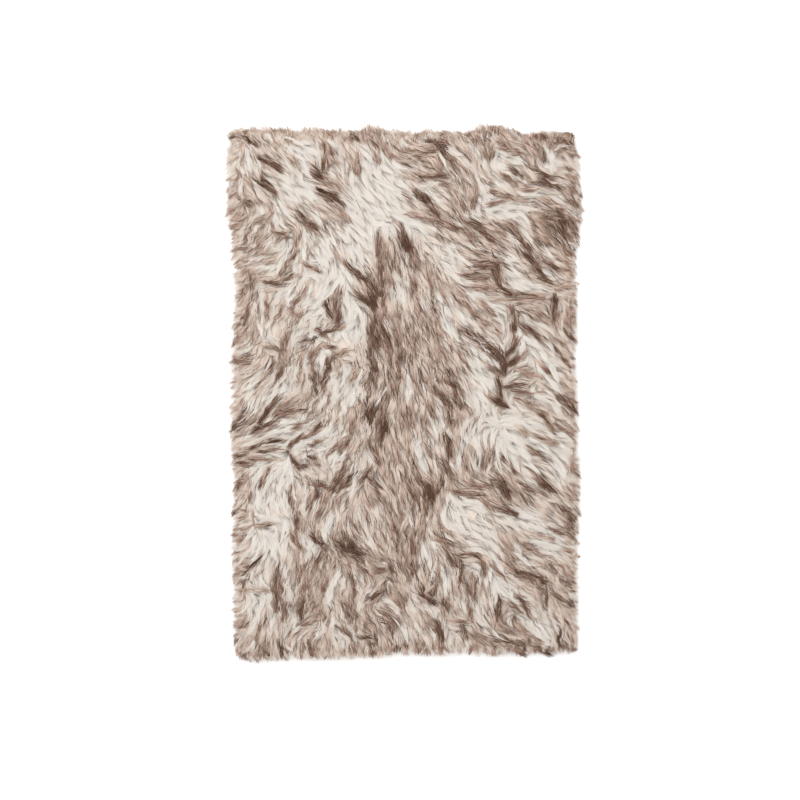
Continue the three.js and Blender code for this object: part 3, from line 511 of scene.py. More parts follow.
def level_chart(level):
    """The height of the lying hair: a quarter ellipse up from the hair line to the full level, higher on
    the tufts, lower in the partings, with a soft drift."""
    x, y = chart_grid()
    share = np.clip(inset(x, y) / EDGE_ROUND, 0, 1)
    round_share = np.sqrt(1 - (1 - share) ** 2)
    relief = drifting(x, y, 0.0, LEVEL_DRIFTS)
    for *row, dark in zip(*columns_of(TUFTS)):
        relief += TUFT_RISE * dark * soft_form(x, y, row)
    for *row, pale in zip(*columns_of(PATCHES)):
        if pale > 0:
            relief -= PARTING_SINK * pale * soft_form(x, y, row)
    relief = np.clip(relief, *RELIEF_RANGE)
    return Chart(EDGE_LEVEL + (level - EDGE_LEVEL) * round_share + relief * round_share)


def tone_chart():
    """How brown the tips are: an even start and a soft drift, browner on tufts, paler on partings."""
    x, y = chart_grid()
    tone = drifting(x, y, TONE_START, TONE_DRIFTS)
    for *row, dark in zip(*columns_of(TUFTS)):
        tone += TUFT_TONE * dark * soft_form(x, y, row)
    for *row, pale in zip(*columns_of(PATCHES)):
        tone -= PARTING_TONE * pale * soft_form(x, y, row)
    return Chart(np.clip(tone, 0.0, TONE_MOST))


def wave_chart():
    """The swing of the waving hair."""
    x, y = chart_grid()
    swing = np.full_like(x, SWING_START)
    for middle_x, middle_y, radius, size in zip(*columns_of(WAVES)):
        squared = (x - middle_x) ** 2 + (y - middle_y) ** 2
        swing += SWING_GAIN * size / MM_PER_M * np.exp(-squared / (radius / MM_PER_M) ** 2)
    return Chart(np.minimum(swing, SWING_MOST))


class Charts:
    """All that varies over the rug's plan, worked out once."""

    def __init__(self, level):
        self.cosine, self.sine = comb_charts()
        self.level = level_chart(level)
        self.tone = tone_chart()
        self.wave = wave_chart()


# Hair: locks follow the combing, and strands run along their lock and draw together to its tip.

# A strand: the shares of its length at which its points lie, its width there, and its shortest length.
ALONG = np.array([0.0, 0.34, 0.61, 0.83, 1.0])
WIDTH_SHARE = np.array([0.8, 1.0, 0.9, 0.55])
SHORTEST = 0.009

# A lock: the strands in a wisp, and its middle line, walked in steps back from its place and on.
LOCK_STRANDS, TUFT_STRANDS, STRAY_STRANDS = 5, 3, 2
LINE_STEP = 0.004
STEPS_BACK, STEPS_ON = 22, 6
LEAST_STEPS = 2

# How far inside the hair line the cloth ends under a lock's line, and a strand may have its root.
CLOTH_INSET, ROOT_INSET = 0.004, 0.003

# Heights: a root's; the least in a strand's lower and upper half; a ribbon's least; how far a tip rises
# over the lying hair; and the level from which it does so in full.
ROOT_HEIGHT = 0.0026
LEAST_LOWER, LEAST_UPPER = 0.0022, 0.0009
RIBBON_LEAST = 0.0004
TIP_RISE = 0.0014
RISE_LEVEL = 0.02

# How strongly a lock is pointed, as a share of its root width, and how loose its roots are.
POINTED = 0.35
ROOT_LOOSE = 0.0026

# Waves: their length, and how the phase goes across and along the rug.
WAVE_LENGTH = 0.019
WAVE_ACROSS, WAVE_ALONG = -0.35, -0.94

# Chance among the strands, as the spread of a normal draw, or as a range. First a wisp's share of the way
# across its lock; then the bias and spread of the tips, and the lengths.
SHARE_SPREAD, SHARE_RANGE = 0.55, (-1.3, 1.3)
TIP_POWER = 0.8
TIP_SPREAD, TIP_RANGE = 0.0032, (-0.006, 0.0032)
LENGTH_RANGE = (0.82, 1.08)

# The wave's phase by lock and wisp, a wisp's drift to the side, the lift by wisp and strand, the tone by
# strand and between which tones that grows, the lean, a ribbon's roll and its width.
PHASE_BY_LOCK, PHASE_BY_WISP = 0.8, 0.4
SIDE_SPREAD = 0.0012
LIFT_BY_WISP, LIFT_BY_STRAND = 0.0005, 0.0003
TONE_BY_STRAND, TONE_GROWS = 0.11, (0.1, 0.6)
LEAN_SPREAD = 0.06
ROLL_SPREAD = 0.2
RIBBON_RANGE = (0.7, 1.3)

# How fast a lock draws together, and how soon from its root the hair swings in full.
DRAW_POWER = 1.6
SWING_EASE = 1.3

# Light and tone: the lean at a lock's side, the share of the round lock in the shading, the spread of the
# tone across a ribbon, and the tone's range.
LOCK_ROUND = 0.5
BODY_SHARE = 0.55
TONE_SPREAD = 0.003
TONE_RANGE = (0.01, 0.99)

# The map OFBake holds the share along a strand between these two values.
MAP_ROOT, MAP_SPAN = 0.02, 0.96

# Bare places: the side of the squares in which strand points are counted, the count that is too few, and
# how far ahead of a bare place its cover lock lies.
BARE_CELL = 0.009
BARE_BELOW = 8
COVER_AHEAD = 0.015

# How far inside the hair line the places of each kind lie at least.
LOCK_INSET, BARE_INSET, COVER_INSET, WISP_INSET = 0.010, 0.014, 0.013, 0.006

# Tufts: the wisps in one by its area, and their range.
TUFT_WISPS, WISPS_PER_AREA = 9.0, 6.1e4
TUFT_WISPS_RANGE = (10, 46)

Locks = namedtuple(
    "Locks", "x y heading hold turn root_width tip_width tail head length tone shade lift arch loose wisps "
    "wave")


def locks_of(x, y, **fields):
    """A set of locks. A field that is given as one number holds for all of them."""
    return Locks(x=x, y=y, **{name: np.broadcast_to(value, x.shape) for name, value in fields.items()})


def centre_lines(locks, charts):
    """Each lock's middle line: from its tip back against the combing and a little on with it. A step's
    heading is the chart's, turned by the lock's own turn, and held to its own heading by the share hold."""
    def walk(step, count):
        x, y = locks.x.copy(), locks.y.copy()
        places = []
        for _ in range(count):
            cosine, sine = charts.cosine.at(x, y), charts.sine.at(x, y)
            turned = (cosine * np.cos(locks.turn) - sine * np.sin(locks.turn),
                      sine * np.cos(locks.turn) + cosine * np.sin(locks.turn))
            ahead_x = (1 - locks.hold) * turned[0] + locks.hold * np.cos(locks.heading)
            ahead_y = (1 - locks.hold) * turned[1] + locks.hold * np.sin(locks.heading)
            size = np.hypot(ahead_x, ahead_y) + 1e-9
            x, y = x + step * ahead_x / size, y + step * ahead_y / size
            places.append(np.stack([x, y], axis=1))
        return places

    back, on = walk(-LINE_STEP, STEPS_BACK), walk(LINE_STEP, STEPS_ON)
    here = [np.stack([locks.x, locks.y], axis=1)]
    lines = np.stack(back[::-1] + here + on, axis=1)
    ahead = np.gradient(lines, axis=1)
    ahead /= np.linalg.norm(ahead, axis=2, keepdims=True) + 1e-9
    return lines, ahead


def cloth_reach(lines):
    """How far back from its place each lock's middle line stays over the cloth, two steps at least."""
    back = lines[:, STEPS_BACK - LEAST_STEPS::-1]
    over_cloth = inset(back[..., 0], back[..., 1]) > CLOTH_INSET
    return LINE_STEP * (LEAST_STEPS + np.cumprod(over_cloth, axis=1).sum(axis=1))


def strand_spans(locks, lock, wisp, reach, rng):
    """Each wisp's share of the way across its lock, and where each strand's points lie along the lock's
    middle line. A wisp has its own share, tip place and length, and a strand's tip lies a little off its
    wisp's. The farther out in the lock, the farther back the tip lies, which makes the lock pointed."""
    wisps, strands = len(lock), len(wisp)
    reach = reach[lock[wisp]]
    share = np.clip(rng.normal(0, SHARE_SPREAD, wisps), *SHARE_RANGE)
    span = (locks.tail + locks.head)[lock]
    tip = -locks.tail[lock] + span * rng.uniform(0, 1, wisps) ** TIP_POWER
    tip = (tip - POINTED * locks.root_width[lock] * share ** 2)[wisp]
    tip = tip + np.clip(rng.normal(0, TIP_SPREAD, strands), *TIP_RANGE)
    tip = np.maximum(tip, SHORTEST - reach)
    length = (locks.length[lock] * rng.uniform(*LENGTH_RANGE, wisps))[wisp]
    length = np.clip(length, SHORTEST, reach + tip)
    return share, tip[:, None] - length[:, None] * (1 - ALONG)


def strand_offsets(locks, lock, wisp, share, place, rng):
    """How far to the side of the middle line each strand's points lie: the offset goes from the wisp's
    share of the root width to that of the tip width by 1 - (1 - t)^DRAW_POWER, and swings by the lock's
    wave, mostly in step with its neighbours."""
    t = ALONG[None, :]
    on = lock[wisp][:, None]
    draw = 1 - (1 - t) ** DRAW_POWER
    offset = share[wisp, None] * (locks.root_width[on] * (1 - draw) + locks.tip_width[on] * draw) / 2
    loose = ROOT_LOOSE * (1 - draw) + locks.loose[on] * draw
    offset = offset + rng.normal(0, 1, (len(wisp), 1)) * loose
    shared = WAVE_ACROSS * locks.x + WAVE_ALONG * locks.y
    phase = (2 * np.pi * shared / WAVE_LENGTH + rng.normal(0, PHASE_BY_LOCK, len(locks.x)))[lock]
    phase = phase + rng.normal(0, PHASE_BY_WISP, len(lock))
    turned = 2 * np.pi * place / WAVE_LENGTH + phase[wisp, None]
    swing = locks.wave[on] * np.sin(turned) * smooth(t * SWING_EASE)
    return offset + swing + rng.normal(0, SIDE_SPREAD, len(lock))[wisp, None] * t


def strand_heights(locks, lock, wisp, level, rng):
    """The heights of each strand's points, which rise from the ground cloth to the lying hair's level by
    1 - (1 - t)^arch, the tip a little over it."""
    t = ALONG[None, :]
    on = lock[wisp]
    over = locks.lift[on] + rng.normal(0, LIFT_BY_WISP, len(lock))[wisp]
    over = over + rng.normal(0, LIFT_BY_STRAND, len(wisp))
    top = level + (over[:, None] + TIP_RISE * t ** 3) * np.clip(level / RISE_LEVEL, 0, 1)
    height = ROOT_HEIGHT + (top - ROOT_HEIGHT) * (1 - (1 - t) ** locks.arch[on, None])
    return np.maximum(height, np.where(t > 0.5, LEAST_UPPER, LEAST_LOWER))


def strand_paths(locks, charts, rng, per_wisp=LOCK_STRANDS):
    """Every strand as five points, with its tone and its lean. A lock is made of wisps, and a wisp of
    strands. The lean says how far a strand's light falls as on the side of a round lock. Strands rooted
    outside the cloth are left out."""
    lines, ahead = centre_lines(locks, charts)
    lock = np.repeat(np.arange(len(locks.x)), locks.wisps)
    wisp = np.repeat(np.arange(len(lock)), per_wisp)
    share, place = strand_spans(locks, lock, wisp, cloth_reach(lines), rng)

    index = np.clip(place / LINE_STEP + STEPS_BACK, 0, STEPS_BACK + STEPS_ON - 0.001)
    low = index.astype(int)
    part = (index - low)[..., None]
    on = lock[wisp][:, None]
    middle = lines[on, low] * (1 - part) + lines[on, low + 1] * part
    forward = ahead[on, low] * (1 - part) + ahead[on, low + 1] * part
    offset = strand_offsets(locks, lock, wisp, share, place, rng)
    x = middle[..., 0] - offset * forward[..., 1]
    y = middle[..., 1] + offset * forward[..., 0]
    height = strand_heights(locks, lock, wisp, charts.level.at(x, y), rng)

    tone = (locks.tone[lock] + locks.shade[lock] * rng.normal(0, 1, len(lock)))[wisp]
    tone = tone + TONE_BY_STRAND * np.clip(tone, *TONE_GROWS) * rng.normal(0, 1, len(wisp))
    lean = LOCK_ROUND * share[wisp] + rng.normal(0, LEAN_SPREAD, len(wisp))
    rooted = inset(x[:, 0], y[:, 0]) > ROOT_INSET
    return np.stack([x, y, height], axis=2)[rooted], np.clip(tone, *TONE_RANGE)[rooted], lean[rooted]


def ribbon_mesh(name, paths, tone, lean, width, rng):
    """Strands as tapering ribbons: across each point of a path lie two corners, half a width to either side
    of it at right angles to the path, rolled by a chance angle about it; the tip is one point. The shading
    normals are mostly those of the round lock that the strand is part of. The map OFBake holds the strand's
    tone across and the share from root to tip up."""
    total = len(paths)
    step = np.gradient(paths, axis=1)
    step /= np.linalg.norm(step, axis=2, keepdims=True) + 1e-12
    flat = np.cross(step, np.array([0.0, 0.0, 1.0]))
    flat /= np.linalg.norm(flat, axis=2, keepdims=True) + 1e-9
    upright = np.cross(flat, step)
    roll = rng.normal(0, ROLL_SPREAD, (total, 1, 1))
    side = flat * np.cos(roll) + upright * np.sin(roll)
    half = width * rng.uniform(*RIBBON_RANGE, (total, 1, 1)) * WIDTH_SHARE[None, :, None] / 2
    own = np.cross(side, step)
    body = upright - flat * lean[:, None, None]
    body /= np.linalg.norm(body, axis=2, keepdims=True)
    normals = own * (1 - BODY_SHARE) + body * BODY_SHARE
    normals /= np.linalg.norm(normals, axis=2, keepdims=True)

    rings = len(WIDTH_SHARE)
    corners = np.empty((total, 2 * rings + 1, 3))
    corners[:, 0:2 * rings:2] = paths[:, :rings] - side[:, :rings] * half
    corners[:, 1:2 * rings:2] = paths[:, :rings] + side[:, :rings] * half
    corners[:, -1] = paths[:, -1]
    corners[..., 2] = np.maximum(corners[..., 2], RIBBON_LEAST)

    quads = [(2 * k, 2 * k + 1, 2 * k + 3, 2 * k + 2) for k in range(rings - 1)]
    tip_face = [2 * rings - 2, 2 * rings - 1, 2 * rings]
    loops = np.array([corner for quad in quads for corner in quad] + tip_face)
    starts = np.arange(rings) * 4
    loop_corners = (np.arange(total)[:, None] * (2 * rings + 1) + loops[None, :]).ravel()
    loop_starts = (np.arange(total)[:, None] * len(loops) + starts[None, :]).ravel()

    corner_u = np.array([-1.0, 1.0] * rings + [0.0]) * TONE_SPREAD
    corner_v = np.append(np.repeat(ALONG[:rings], 2), 1.0) * MAP_SPAN + MAP_ROOT
    u = np.clip(tone, *TONE_RANGE)[:, None] + corner_u[loops][None, :]
    v = np.broadcast_to(corner_v[loops][None, :], u.shape)
    mesh = mesh_of(name, corners.reshape(-1, 3), loop_corners, loop_starts, np.stack([u, v], axis=2))
    corner_point = np.append(np.repeat(np.arange(rings), 2), rings)
    mesh.normals_split_custom_set_from_vertices(normals[:, corner_point].reshape(-1, 3))
    return mesh


def mesh_of(name, corners, loop_corners, loop_starts, uv):
    """A mesh from whole arrays of corners, face corners, face starts and the map OFBake."""
    mesh = bpy.data.meshes.new(name)
    mesh.vertices.add(len(corners))
    mesh.vertices.foreach_set("co", corners.astype(np.float32).ravel())
    mesh.loops.add(len(loop_corners))
    mesh.loops.foreach_set("vertex_index", loop_corners.astype(np.int32))
    mesh.polygons.add(len(loop_starts))
    mesh.polygons.foreach_set("loop_start", loop_starts.astype(np.int32))
    layer = mesh.uv_layers.new(name="OFBake")
    layer.data.foreach_set("uv", uv.astype(np.float32).ravel())
    mesh.update(calc_edges=True)
    mesh.validate()
    return mesh


def piece_of(mesh, material):
    """A piece at the origin with one material, riding on the rug's body."""
    piece = bpy.data.objects.new(mesh.name, mesh)
    bpy.context.scene.collection.objects.link(piece)
    mesh.materials.append(material)
    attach(piece, BODY)
    return piece


def shaken_grid(spacing, rng):
    """Places on a square grid over the rug, each moved by chance, by half the spacing at most."""
    x, y = np.meshgrid(np.arange(-HALF_WIDTH, HALF_WIDTH, spacing),
                       np.arange(-HALF_LENGTH, HALF_LENGTH, spacing))
    x = x.ravel() + rng.uniform(-0.5, 0.5, x.size) * spacing
    y = y.ravel() + rng.uniform(-0.5, 0.5, y.size) * spacing
    return x, y


def little_locks(settings, charts, rng):
    """Little locks on a shaken grid all over the rug inside its rim, from the photograph's top down."""
    x, y = shaken_grid(settings.lock_spacing, rng)
    inner = inset(x, y) > LOCK_INSET
    x, y = x[inner], y[inner]
    order = np.argsort(-y)
    x, y = x[order], y[order]
    count = len(x)
    tone = charts.tone.at(x, y)
    tone = tone + rng.normal(0, 1, count) * (0.04 + 0.22 * tone)
    return locks_of(
        x, y, heading=0.0, hold=0.0, turn=rng.normal(0, 0.22, count),
        root_width=rng.uniform(0.018, 0.028, count), tip_width=rng.uniform(0.002, 0.007, count),
        tail=rng.uniform(0.003, 0.008, count), head=rng.uniform(0.004, 0.009, count),
        length=settings.hair_length * rng.uniform(0.8, 1.1, count), tone=np.clip(tone, 0.02, 0.92),
        shade=0.01 + 0.10 * np.clip(tone, 0, 1), lift=rng.normal(0, 0.0011, count), arch=4.5,
        loose=rng.uniform(0.0009, 0.0018, count), wisps=settings.wisps_per_lock,
        wave=charts.wave.at(x, y) * rng.uniform(0.5, 1.4, count),
    )


def bare_places(paths):
    """The middles of the squares inside the rug over which fewer than BARE_BELOW strand points lie."""
    edges_x = np.arange(-HALF_WIDTH, HALF_WIDTH + BARE_CELL, BARE_CELL)
    edges_y = np.arange(-HALF_LENGTH, HALF_LENGTH + BARE_CELL, BARE_CELL)
    points = paths[:, 1:].reshape(-1, 3)
    found, _, _ = np.histogram2d(points[:, 0], points[:, 1], bins=(edges_x, edges_y))
    column, row = np.nonzero(found < BARE_BELOW)
    x, y = edges_x[column] + BARE_CELL / 2, edges_y[row] + BARE_CELL / 2
    inner = inset(x, y) > BARE_INSET
    return x[inner], y[inner]


def cover_locks(settings, charts, bare, rng):
    """Short locks whose middles lie over the bare places, where the combing parts."""
    x, y = bare
    cosine, sine = charts.cosine.at(x, y), charts.sine.at(x, y)
    heading = np.arctan2(sine, cosine) + rng.normal(0, 0.25, len(x))
    x, y = x + COVER_AHEAD * np.cos(heading), y + COVER_AHEAD * np.sin(heading)
    inner = inset(x, y) > COVER_INSET
    x, y, heading = x[inner], y[inner], heading[inner]
    count = len(x)
    tone = charts.tone.at(x, y) + rng.normal(0, 0.08, count)
    return locks_of(
        x, y, heading=heading, hold=0.9, turn=0.0,
        root_width=rng.uniform(0.010, 0.016, count), tip_width=rng.uniform(0.006, 0.010, count),
        tail=0.006, head=0.008,
        length=settings.hair_length * rng.uniform(0.62, 0.8, count), tone=np.clip(tone, 0.02, 0.7),
        shade=0.01 + 0.10 * np.clip(tone, 0, 1), lift=rng.normal(-0.0004, 0.0006, count), arch=7.0,
        loose=0.0016, wisps=4, wave=charts.wave.at(x, y),
    )


def stray_wisps(settings, charts, rng):
    """Thin brown-tipped wisps that lie over the combed locks: on a shaken grid, and the fewer the paler the
    hair is there."""
    x, y = shaken_grid(settings.wisp_spacing, rng)
    tone = charts.tone.at(x, y)
    kept = (inset(x, y) > WISP_INSET) & (rng.uniform(0, 1, len(x)) < 1.95 * tone - 0.01)
    x, y, tone = x[kept], y[kept], tone[kept]
    count = len(x)
    tone = 0.60 + 0.46 * tone + rng.normal(0, 0.13, count)
    return locks_of(
        x, y, heading=0.0, hold=0.0, turn=rng.normal(0, 0.18, count),
        root_width=rng.uniform(0.004, 0.008, count), tip_width=rng.uniform(0.0005, 0.002, count),
        tail=rng.uniform(0.001, 0.006, count), head=rng.uniform(0.004, 0.010, count),
        length=settings.hair_length * rng.uniform(0.95, 1.2, count), tone=np.clip(tone, 0.05, 0.95),
        shade=0.06, lift=rng.uniform(0.0008, 0.0024, count), arch=4.5,
        loose=rng.uniform(0.0003, 0.0009, count), wisps=1,
        wave=charts.wave.at(x, y) * rng.uniform(0.6, 1.6, count),
    )


def tuft_locks(settings, charts, rng):
    """One lock for each row of the table of tufts: its tips lie along the brown stretch, and its strands
    number by its area."""
    x, y, heading, length, width, dark = columns_of(TUFTS)
    length, width = length / MM_PER_M, width / MM_PER_M
    wisps = np.round(TUFT_WISPS + length * width * WISPS_PER_AREA)
    wisps = np.clip(wisps, *TUFT_WISPS_RANGE).astype(int)
    return locks_of(
        x, y, heading=np.radians(heading), hold=0.72, turn=0.0,
        root_width=width * 1.1 + 0.002, tip_width=width * 0.8,
        tail=length * 0.36, head=length * 0.54,
        length=settings.hair_length * rng.uniform(0.75, 0.95, len(x)), tone=0.95 * dark ** 1.35,
        shade=0.16, lift=0.0018, arch=4.0, loose=0.0013, wisps=wisps, wave=charts.wave.at(x, y) * 0.7,
    )


def rim_locks(settings, charts, rng):
    """Locks whose tips make the ragged hair line: places walked evenly round the nominal rectangle, moved
    to the hair line by their own inset, in three rows, the outer one resting on the floor. At the
    photograph's top they are blunt, so wider and browner."""
    lap = 4 * (HALF_WIDTH + HALF_LENGTH)
    steps = np.arange(0, lap, settings.rim_spacing)
    corners_at = np.array([0, 2 * HALF_WIDTH, 2 * (HALF_WIDTH + HALF_LENGTH), lap - 2 * HALF_LENGTH, lap])
    corner_x = np.array([-1, 1, 1, -1, -1]) * HALF_WIDTH
    corner_y = np.array([1, 1, -1, -1, 1]) * HALF_LENGTH
    x, y = np.interp(steps, corners_at, corner_x), np.interp(steps, corners_at, corner_y)
    x, y = np.tile(x, 3), np.tile(y, 3)
    count = len(x)
    x, y = x + rng.normal(0, 0.002, count), y + rng.normal(0, 0.002, count)
    row = np.repeat([0, 1, 2], count // 3)
    want = np.choose(row, [rng.normal(0.0026, 0.0024, count), rng.uniform(0.002, 0.007, count),
                           rng.uniform(0.007, 0.015, count)])
    probe = 0.001
    for _ in range(3):
        short = want - inset(x, y)
        slope_x = (inset(x + probe, y) - inset(x - probe, y)) / (2 * probe)
        slope_y = (inset(x, y + probe) - inset(x, y - probe)) / (2 * probe)
        x, y = x + short * slope_x, y + short * slope_y
    tone = 0.26 + 0.55 * charts.tone.at(x * 0.97, y * 0.98) + rng.normal(0, 0.18, count)
    near_depth = 0.012
    out_x, out_y = np.zeros(count), np.zeros(count)
    for side, depth in side_depths(x, y).items():
        near = np.exp(-depth / near_depth)
        out_x += near * math.cos(math.radians(RIM_LIE[side].heading))
        out_y += near * math.sin(math.radians(RIM_LIE[side].heading))
    heading = np.arctan2(out_y, out_x) + rng.normal(0, 0.30, count)
    root_width = rng.uniform(0.006, 0.011, count)
    blunt = np.exp(-np.maximum(side_depths(x, y)["top"], 0) / near_depth)
    tone = tone + 0.12 * blunt
    return locks_of(
        x, y, heading=heading, hold=0.85, turn=0.0,
        root_width=root_width * (1 + 0.6 * blunt), tip_width=root_width * (0.5 + 1.1 * blunt),
        tail=rng.uniform(0.004, 0.009, count), head=rng.uniform(0, 0.003, count) * (1 + blunt),
        length=settings.hair_length * np.choose(row, [0.52, 0.62, 0.8]) * rng.uniform(0.85, 1.15, count),
        tone=np.clip(tone, 0.05, 0.95), shade=0.1, lift=rng.normal(0.0012, 0.0008, count), arch=3.0,
        loose=0.0013 + 0.0012 * blunt, wisps=4, wave=0.0006 * rng.uniform(0.3, 1.6, count),
    )


# Finishes.

# The dye: how strongly painted shade browns the very root, which lies deep in the pile, between which
# shares that shade fades out, the share at which the brown begins at tone 0, how much nearer the root it
# begins at tone 1 and by chance, and how far the dark, which is partly painted shade under the lock above,
# fades paler again towards the tip.
ROOT_PAINTED_SHADE = 0.24
ROOT_SHADE_FADE = (0.18, 0.56)
ONSET_START, ONSET_BY_TONE, ONSET_BY_CHANCE = 0.93, 0.58, 0.34
DARK_FADE_SHARE, DARK_FADE_RANGE = 0.6, (0.72, 1.0)

# Its stages towards the tip: the colour, where it begins and is full as seen from the onset, and between
# which tones it comes in.
DYE_STAGES = (
    ("Beige", (-0.62, -0.12), (-0.05, 0.45)),
    ("Brown", (-0.10, 0.36), (0.0, 0.55)),
    # Dark: the gathered tips' own dye, and partly painted shade where hair comes out from under the lock
    # above.
    ("Dark", (0.0, 0.32), (0.45, 0.98)),
)

# Its small differences of shade: how fast they change with the tone and along a strand, and their size.
SHADE_BY_TONE, SHADE_ALONG = 160.0, 1.6
SHADE_SIZE = 0.18


class Graph:
    """A node tree's nodes and links, with a method for each kind of node that the finishes use often."""

    def __init__(self, tree):
        self.nodes, self.links = tree.nodes, tree.links

    def feed(self, socket, value):
        """Links an output to a socket, or sets the socket's own value."""
        if isinstance(value, bpy.types.NodeSocket):
            self.links.new(value, socket)
        else:
            socket.default_value = value

    def node(self, kind, inputs, **settings):
        """A new node with its settings, then its inputs, which are fed by name or number."""
        node = self.nodes.new(kind)
        for name, value in settings.items():
            setattr(node, name, value)
        for name, value in inputs.items():
            self.feed(node.inputs[name], value)
        return node

    def plus(self, first, second):
        return self.node("ShaderNodeMath", {0: first, 1: second}, operation="ADD").outputs[0]

    def minus(self, first, second):
        return self.node("ShaderNodeMath", {0: first, 1: second}, operation="SUBTRACT").outputs[0]

    def times(self, first, second):
        return self.node("ShaderNodeMath", {0: first, 1: second}, operation="MULTIPLY").outputs[0]

    def eased(self, value, low, high):
        """Eases a value from 0 at low to 1 at high."""
        inputs = {"Value": value, "From Min": low, "From Max": high}
        return self.node("ShaderNodeMapRange", inputs, interpolation_type="SMOOTHSTEP").outputs["Result"]

    def mix(self, share, first, second):
        """The colour at a share of the way between two colours."""
        inputs = {"Factor": share, "A": first, "B": second}
        return self.node("ShaderNodeMix", inputs, data_type="RGBA").outputs["Result"]

    def noise(self, place, scale, detail):
        inputs = {"Vector": place, "Scale": scale, "Detail": detail}
        return self.node("ShaderNodeTexNoise", inputs).outputs["Fac"]

    def bands(self, place, direction, scale):
        inputs = {"Vector": place, "Scale": scale, "Distortion": 0.6}
        return self.node("ShaderNodeTexWave", inputs, bands_direction=direction).outputs["Fac"]

    def bump(self, height, strength, distance):
        inputs = {"Height": height, "Strength": strength, "Distance": distance}
        return self.node("ShaderNodeBump", inputs).outputs["Normal"]


def group_socket(group, name, kind, way, default=None):
    """Adds one named input or output to a node group."""
    socket = group.interface.new_socket(name=name, in_out=way, socket_type=kind)
    if default is not None:
        socket.default_value = default


def fur_dye_group():
    """The two-tone dye: painted shade, as deep in the pile, browns the root; cream above it, then beige,
    brown and dark towards the tip, the dark partly painted shade under the lock above and paler again at
    the very tip. The browner the tone, the nearer the root the brown begins; small differences of shade go
    from strand to strand."""
    if "Fur dye" in bpy.data.node_groups:
        return bpy.data.node_groups["Fur dye"]
    group = bpy.data.node_groups.new("Fur dye", "ShaderNodeTree")
    group_socket(group, "Tone", "NodeSocketFloat", "INPUT", 0.5)
    group_socket(group, "Along", "NodeSocketFloat", "INPUT", 0.5)
    for name, colour in (("Cream", CREAM), ("Beige", BEIGE), ("Brown", BROWN), ("Dark", DARK)):
        group_socket(group, name, "NodeSocketColor", "INPUT", linear(colour))
    group_socket(group, "Color", "NodeSocketColor", "OUTPUT")
    graph = Graph(group)
    given = graph.nodes.new("NodeGroupInput").outputs
    result = graph.nodes.new("NodeGroupOutput").inputs
    tone, along = given["Tone"], given["Along"]

    strand = graph.node("ShaderNodeCombineXYZ", {
        "X": graph.times(tone, SHADE_BY_TONE), "Y": graph.times(along, SHADE_ALONG)})
    change = graph.minus(graph.noise(strand.outputs["Vector"], 1.0, 1.0), 0.5)
    onset = graph.minus(ONSET_START, graph.times(tone, ONSET_BY_TONE))
    onset = graph.plus(onset, graph.times(change, ONSET_BY_CHANCE))
    # The dark, partly painted shade under the lock above, is kept less towards the very tip.
    dark_kept = graph.minus(1.0, graph.times(graph.eased(along, *DARK_FADE_RANGE), DARK_FADE_SHARE))

    # Painted shade: the root is mixed towards brown, as where it lies deep in the pile.
    painted_root_shade = graph.times(graph.minus(1.0, graph.eased(along, *ROOT_SHADE_FADE)), ROOT_PAINTED_SHADE)
    colour = graph.mix(painted_root_shade, given["Cream"], given["Brown"])
    for name, (begins, full), tones in DYE_STAGES:
        share = graph.eased(along, graph.plus(onset, begins), graph.plus(onset, full))
        if name == "Dark":
            share = graph.times(share, dark_kept)
        share = graph.times(share, graph.eased(tone, *tones))
        colour = graph.mix(share, colour, given[name])
    value = graph.plus(graph.times(change, SHADE_SIZE), 1.0)
    vary = graph.node("ShaderNodeHueSaturation", {"Value": value, "Color": colour})
    graph.feed(result["Color"], vary.outputs["Color"])
    return group


def shader_material(name, roughness, sheen):
    """A material with one Principled shader, whose even values are set on its own sockets."""
    material = bpy.data.materials.new(name)
    material.use_nodes = True
    graph = Graph(material.node_tree)
    shader = graph.nodes["Principled BSDF"]
    shader.inputs["Roughness"].default_value = roughness
    shader.inputs["Specular IOR Level"].default_value = 0.25
    shader.inputs["Sheen Weight"].default_value = sheen
    return material, graph, shader


def dyed(graph, colours, tone, along):
    """The colour that the fur dye gives in a material, with the settings' colours."""
    dye = graph.nodes.new("ShaderNodeGroup")
    dye.node_tree = fur_dye_group()
    for name in ("cream", "beige", "brown", "dark"):
        dye.inputs[name.capitalize()].default_value = getattr(colours, name)
    graph.feed(dye.inputs["Tone"], tone)
    graph.feed(dye.inputs["Along"], along)
    return dye.outputs["Color"]


def hair_material(colours):
    """Hair: the dye by the strand's tone and the share from root to tip, off the map OFBake. Part of the
    light goes through the strand, as it does in real hair."""
    if "Two-tone fur" in bpy.data.materials:
        return bpy.data.materials["Two-tone fur"]
    material, graph, shader = shader_material("Two-tone fur", 0.65, 0.0)
    strand_map = graph.node("ShaderNodeUVMap", {}, uv_map="OFBake")
    parts = graph.node("ShaderNodeSeparateXYZ", {"Vector": strand_map.outputs["UV"]}).outputs
    colour = dyed(graph, colours, parts["X"], parts["Y"])
    graph.feed(shader.inputs["Base Color"], colour)
    warm = graph.node("ShaderNodeHueSaturation", {"Saturation": 1.5, "Color": colour})
    through = graph.node("ShaderNodeBsdfTranslucent", {"Color": warm.outputs["Color"]})
    shaders = {"Fac": 0.38, 1: shader.outputs["BSDF"], 2: through.outputs["BSDF"]}
    both = graph.node("ShaderNodeMixShader", shaders)
    graph.feed(graph.nodes["Material Output"].inputs["Surface"], both.outputs["Shader"])
    return material


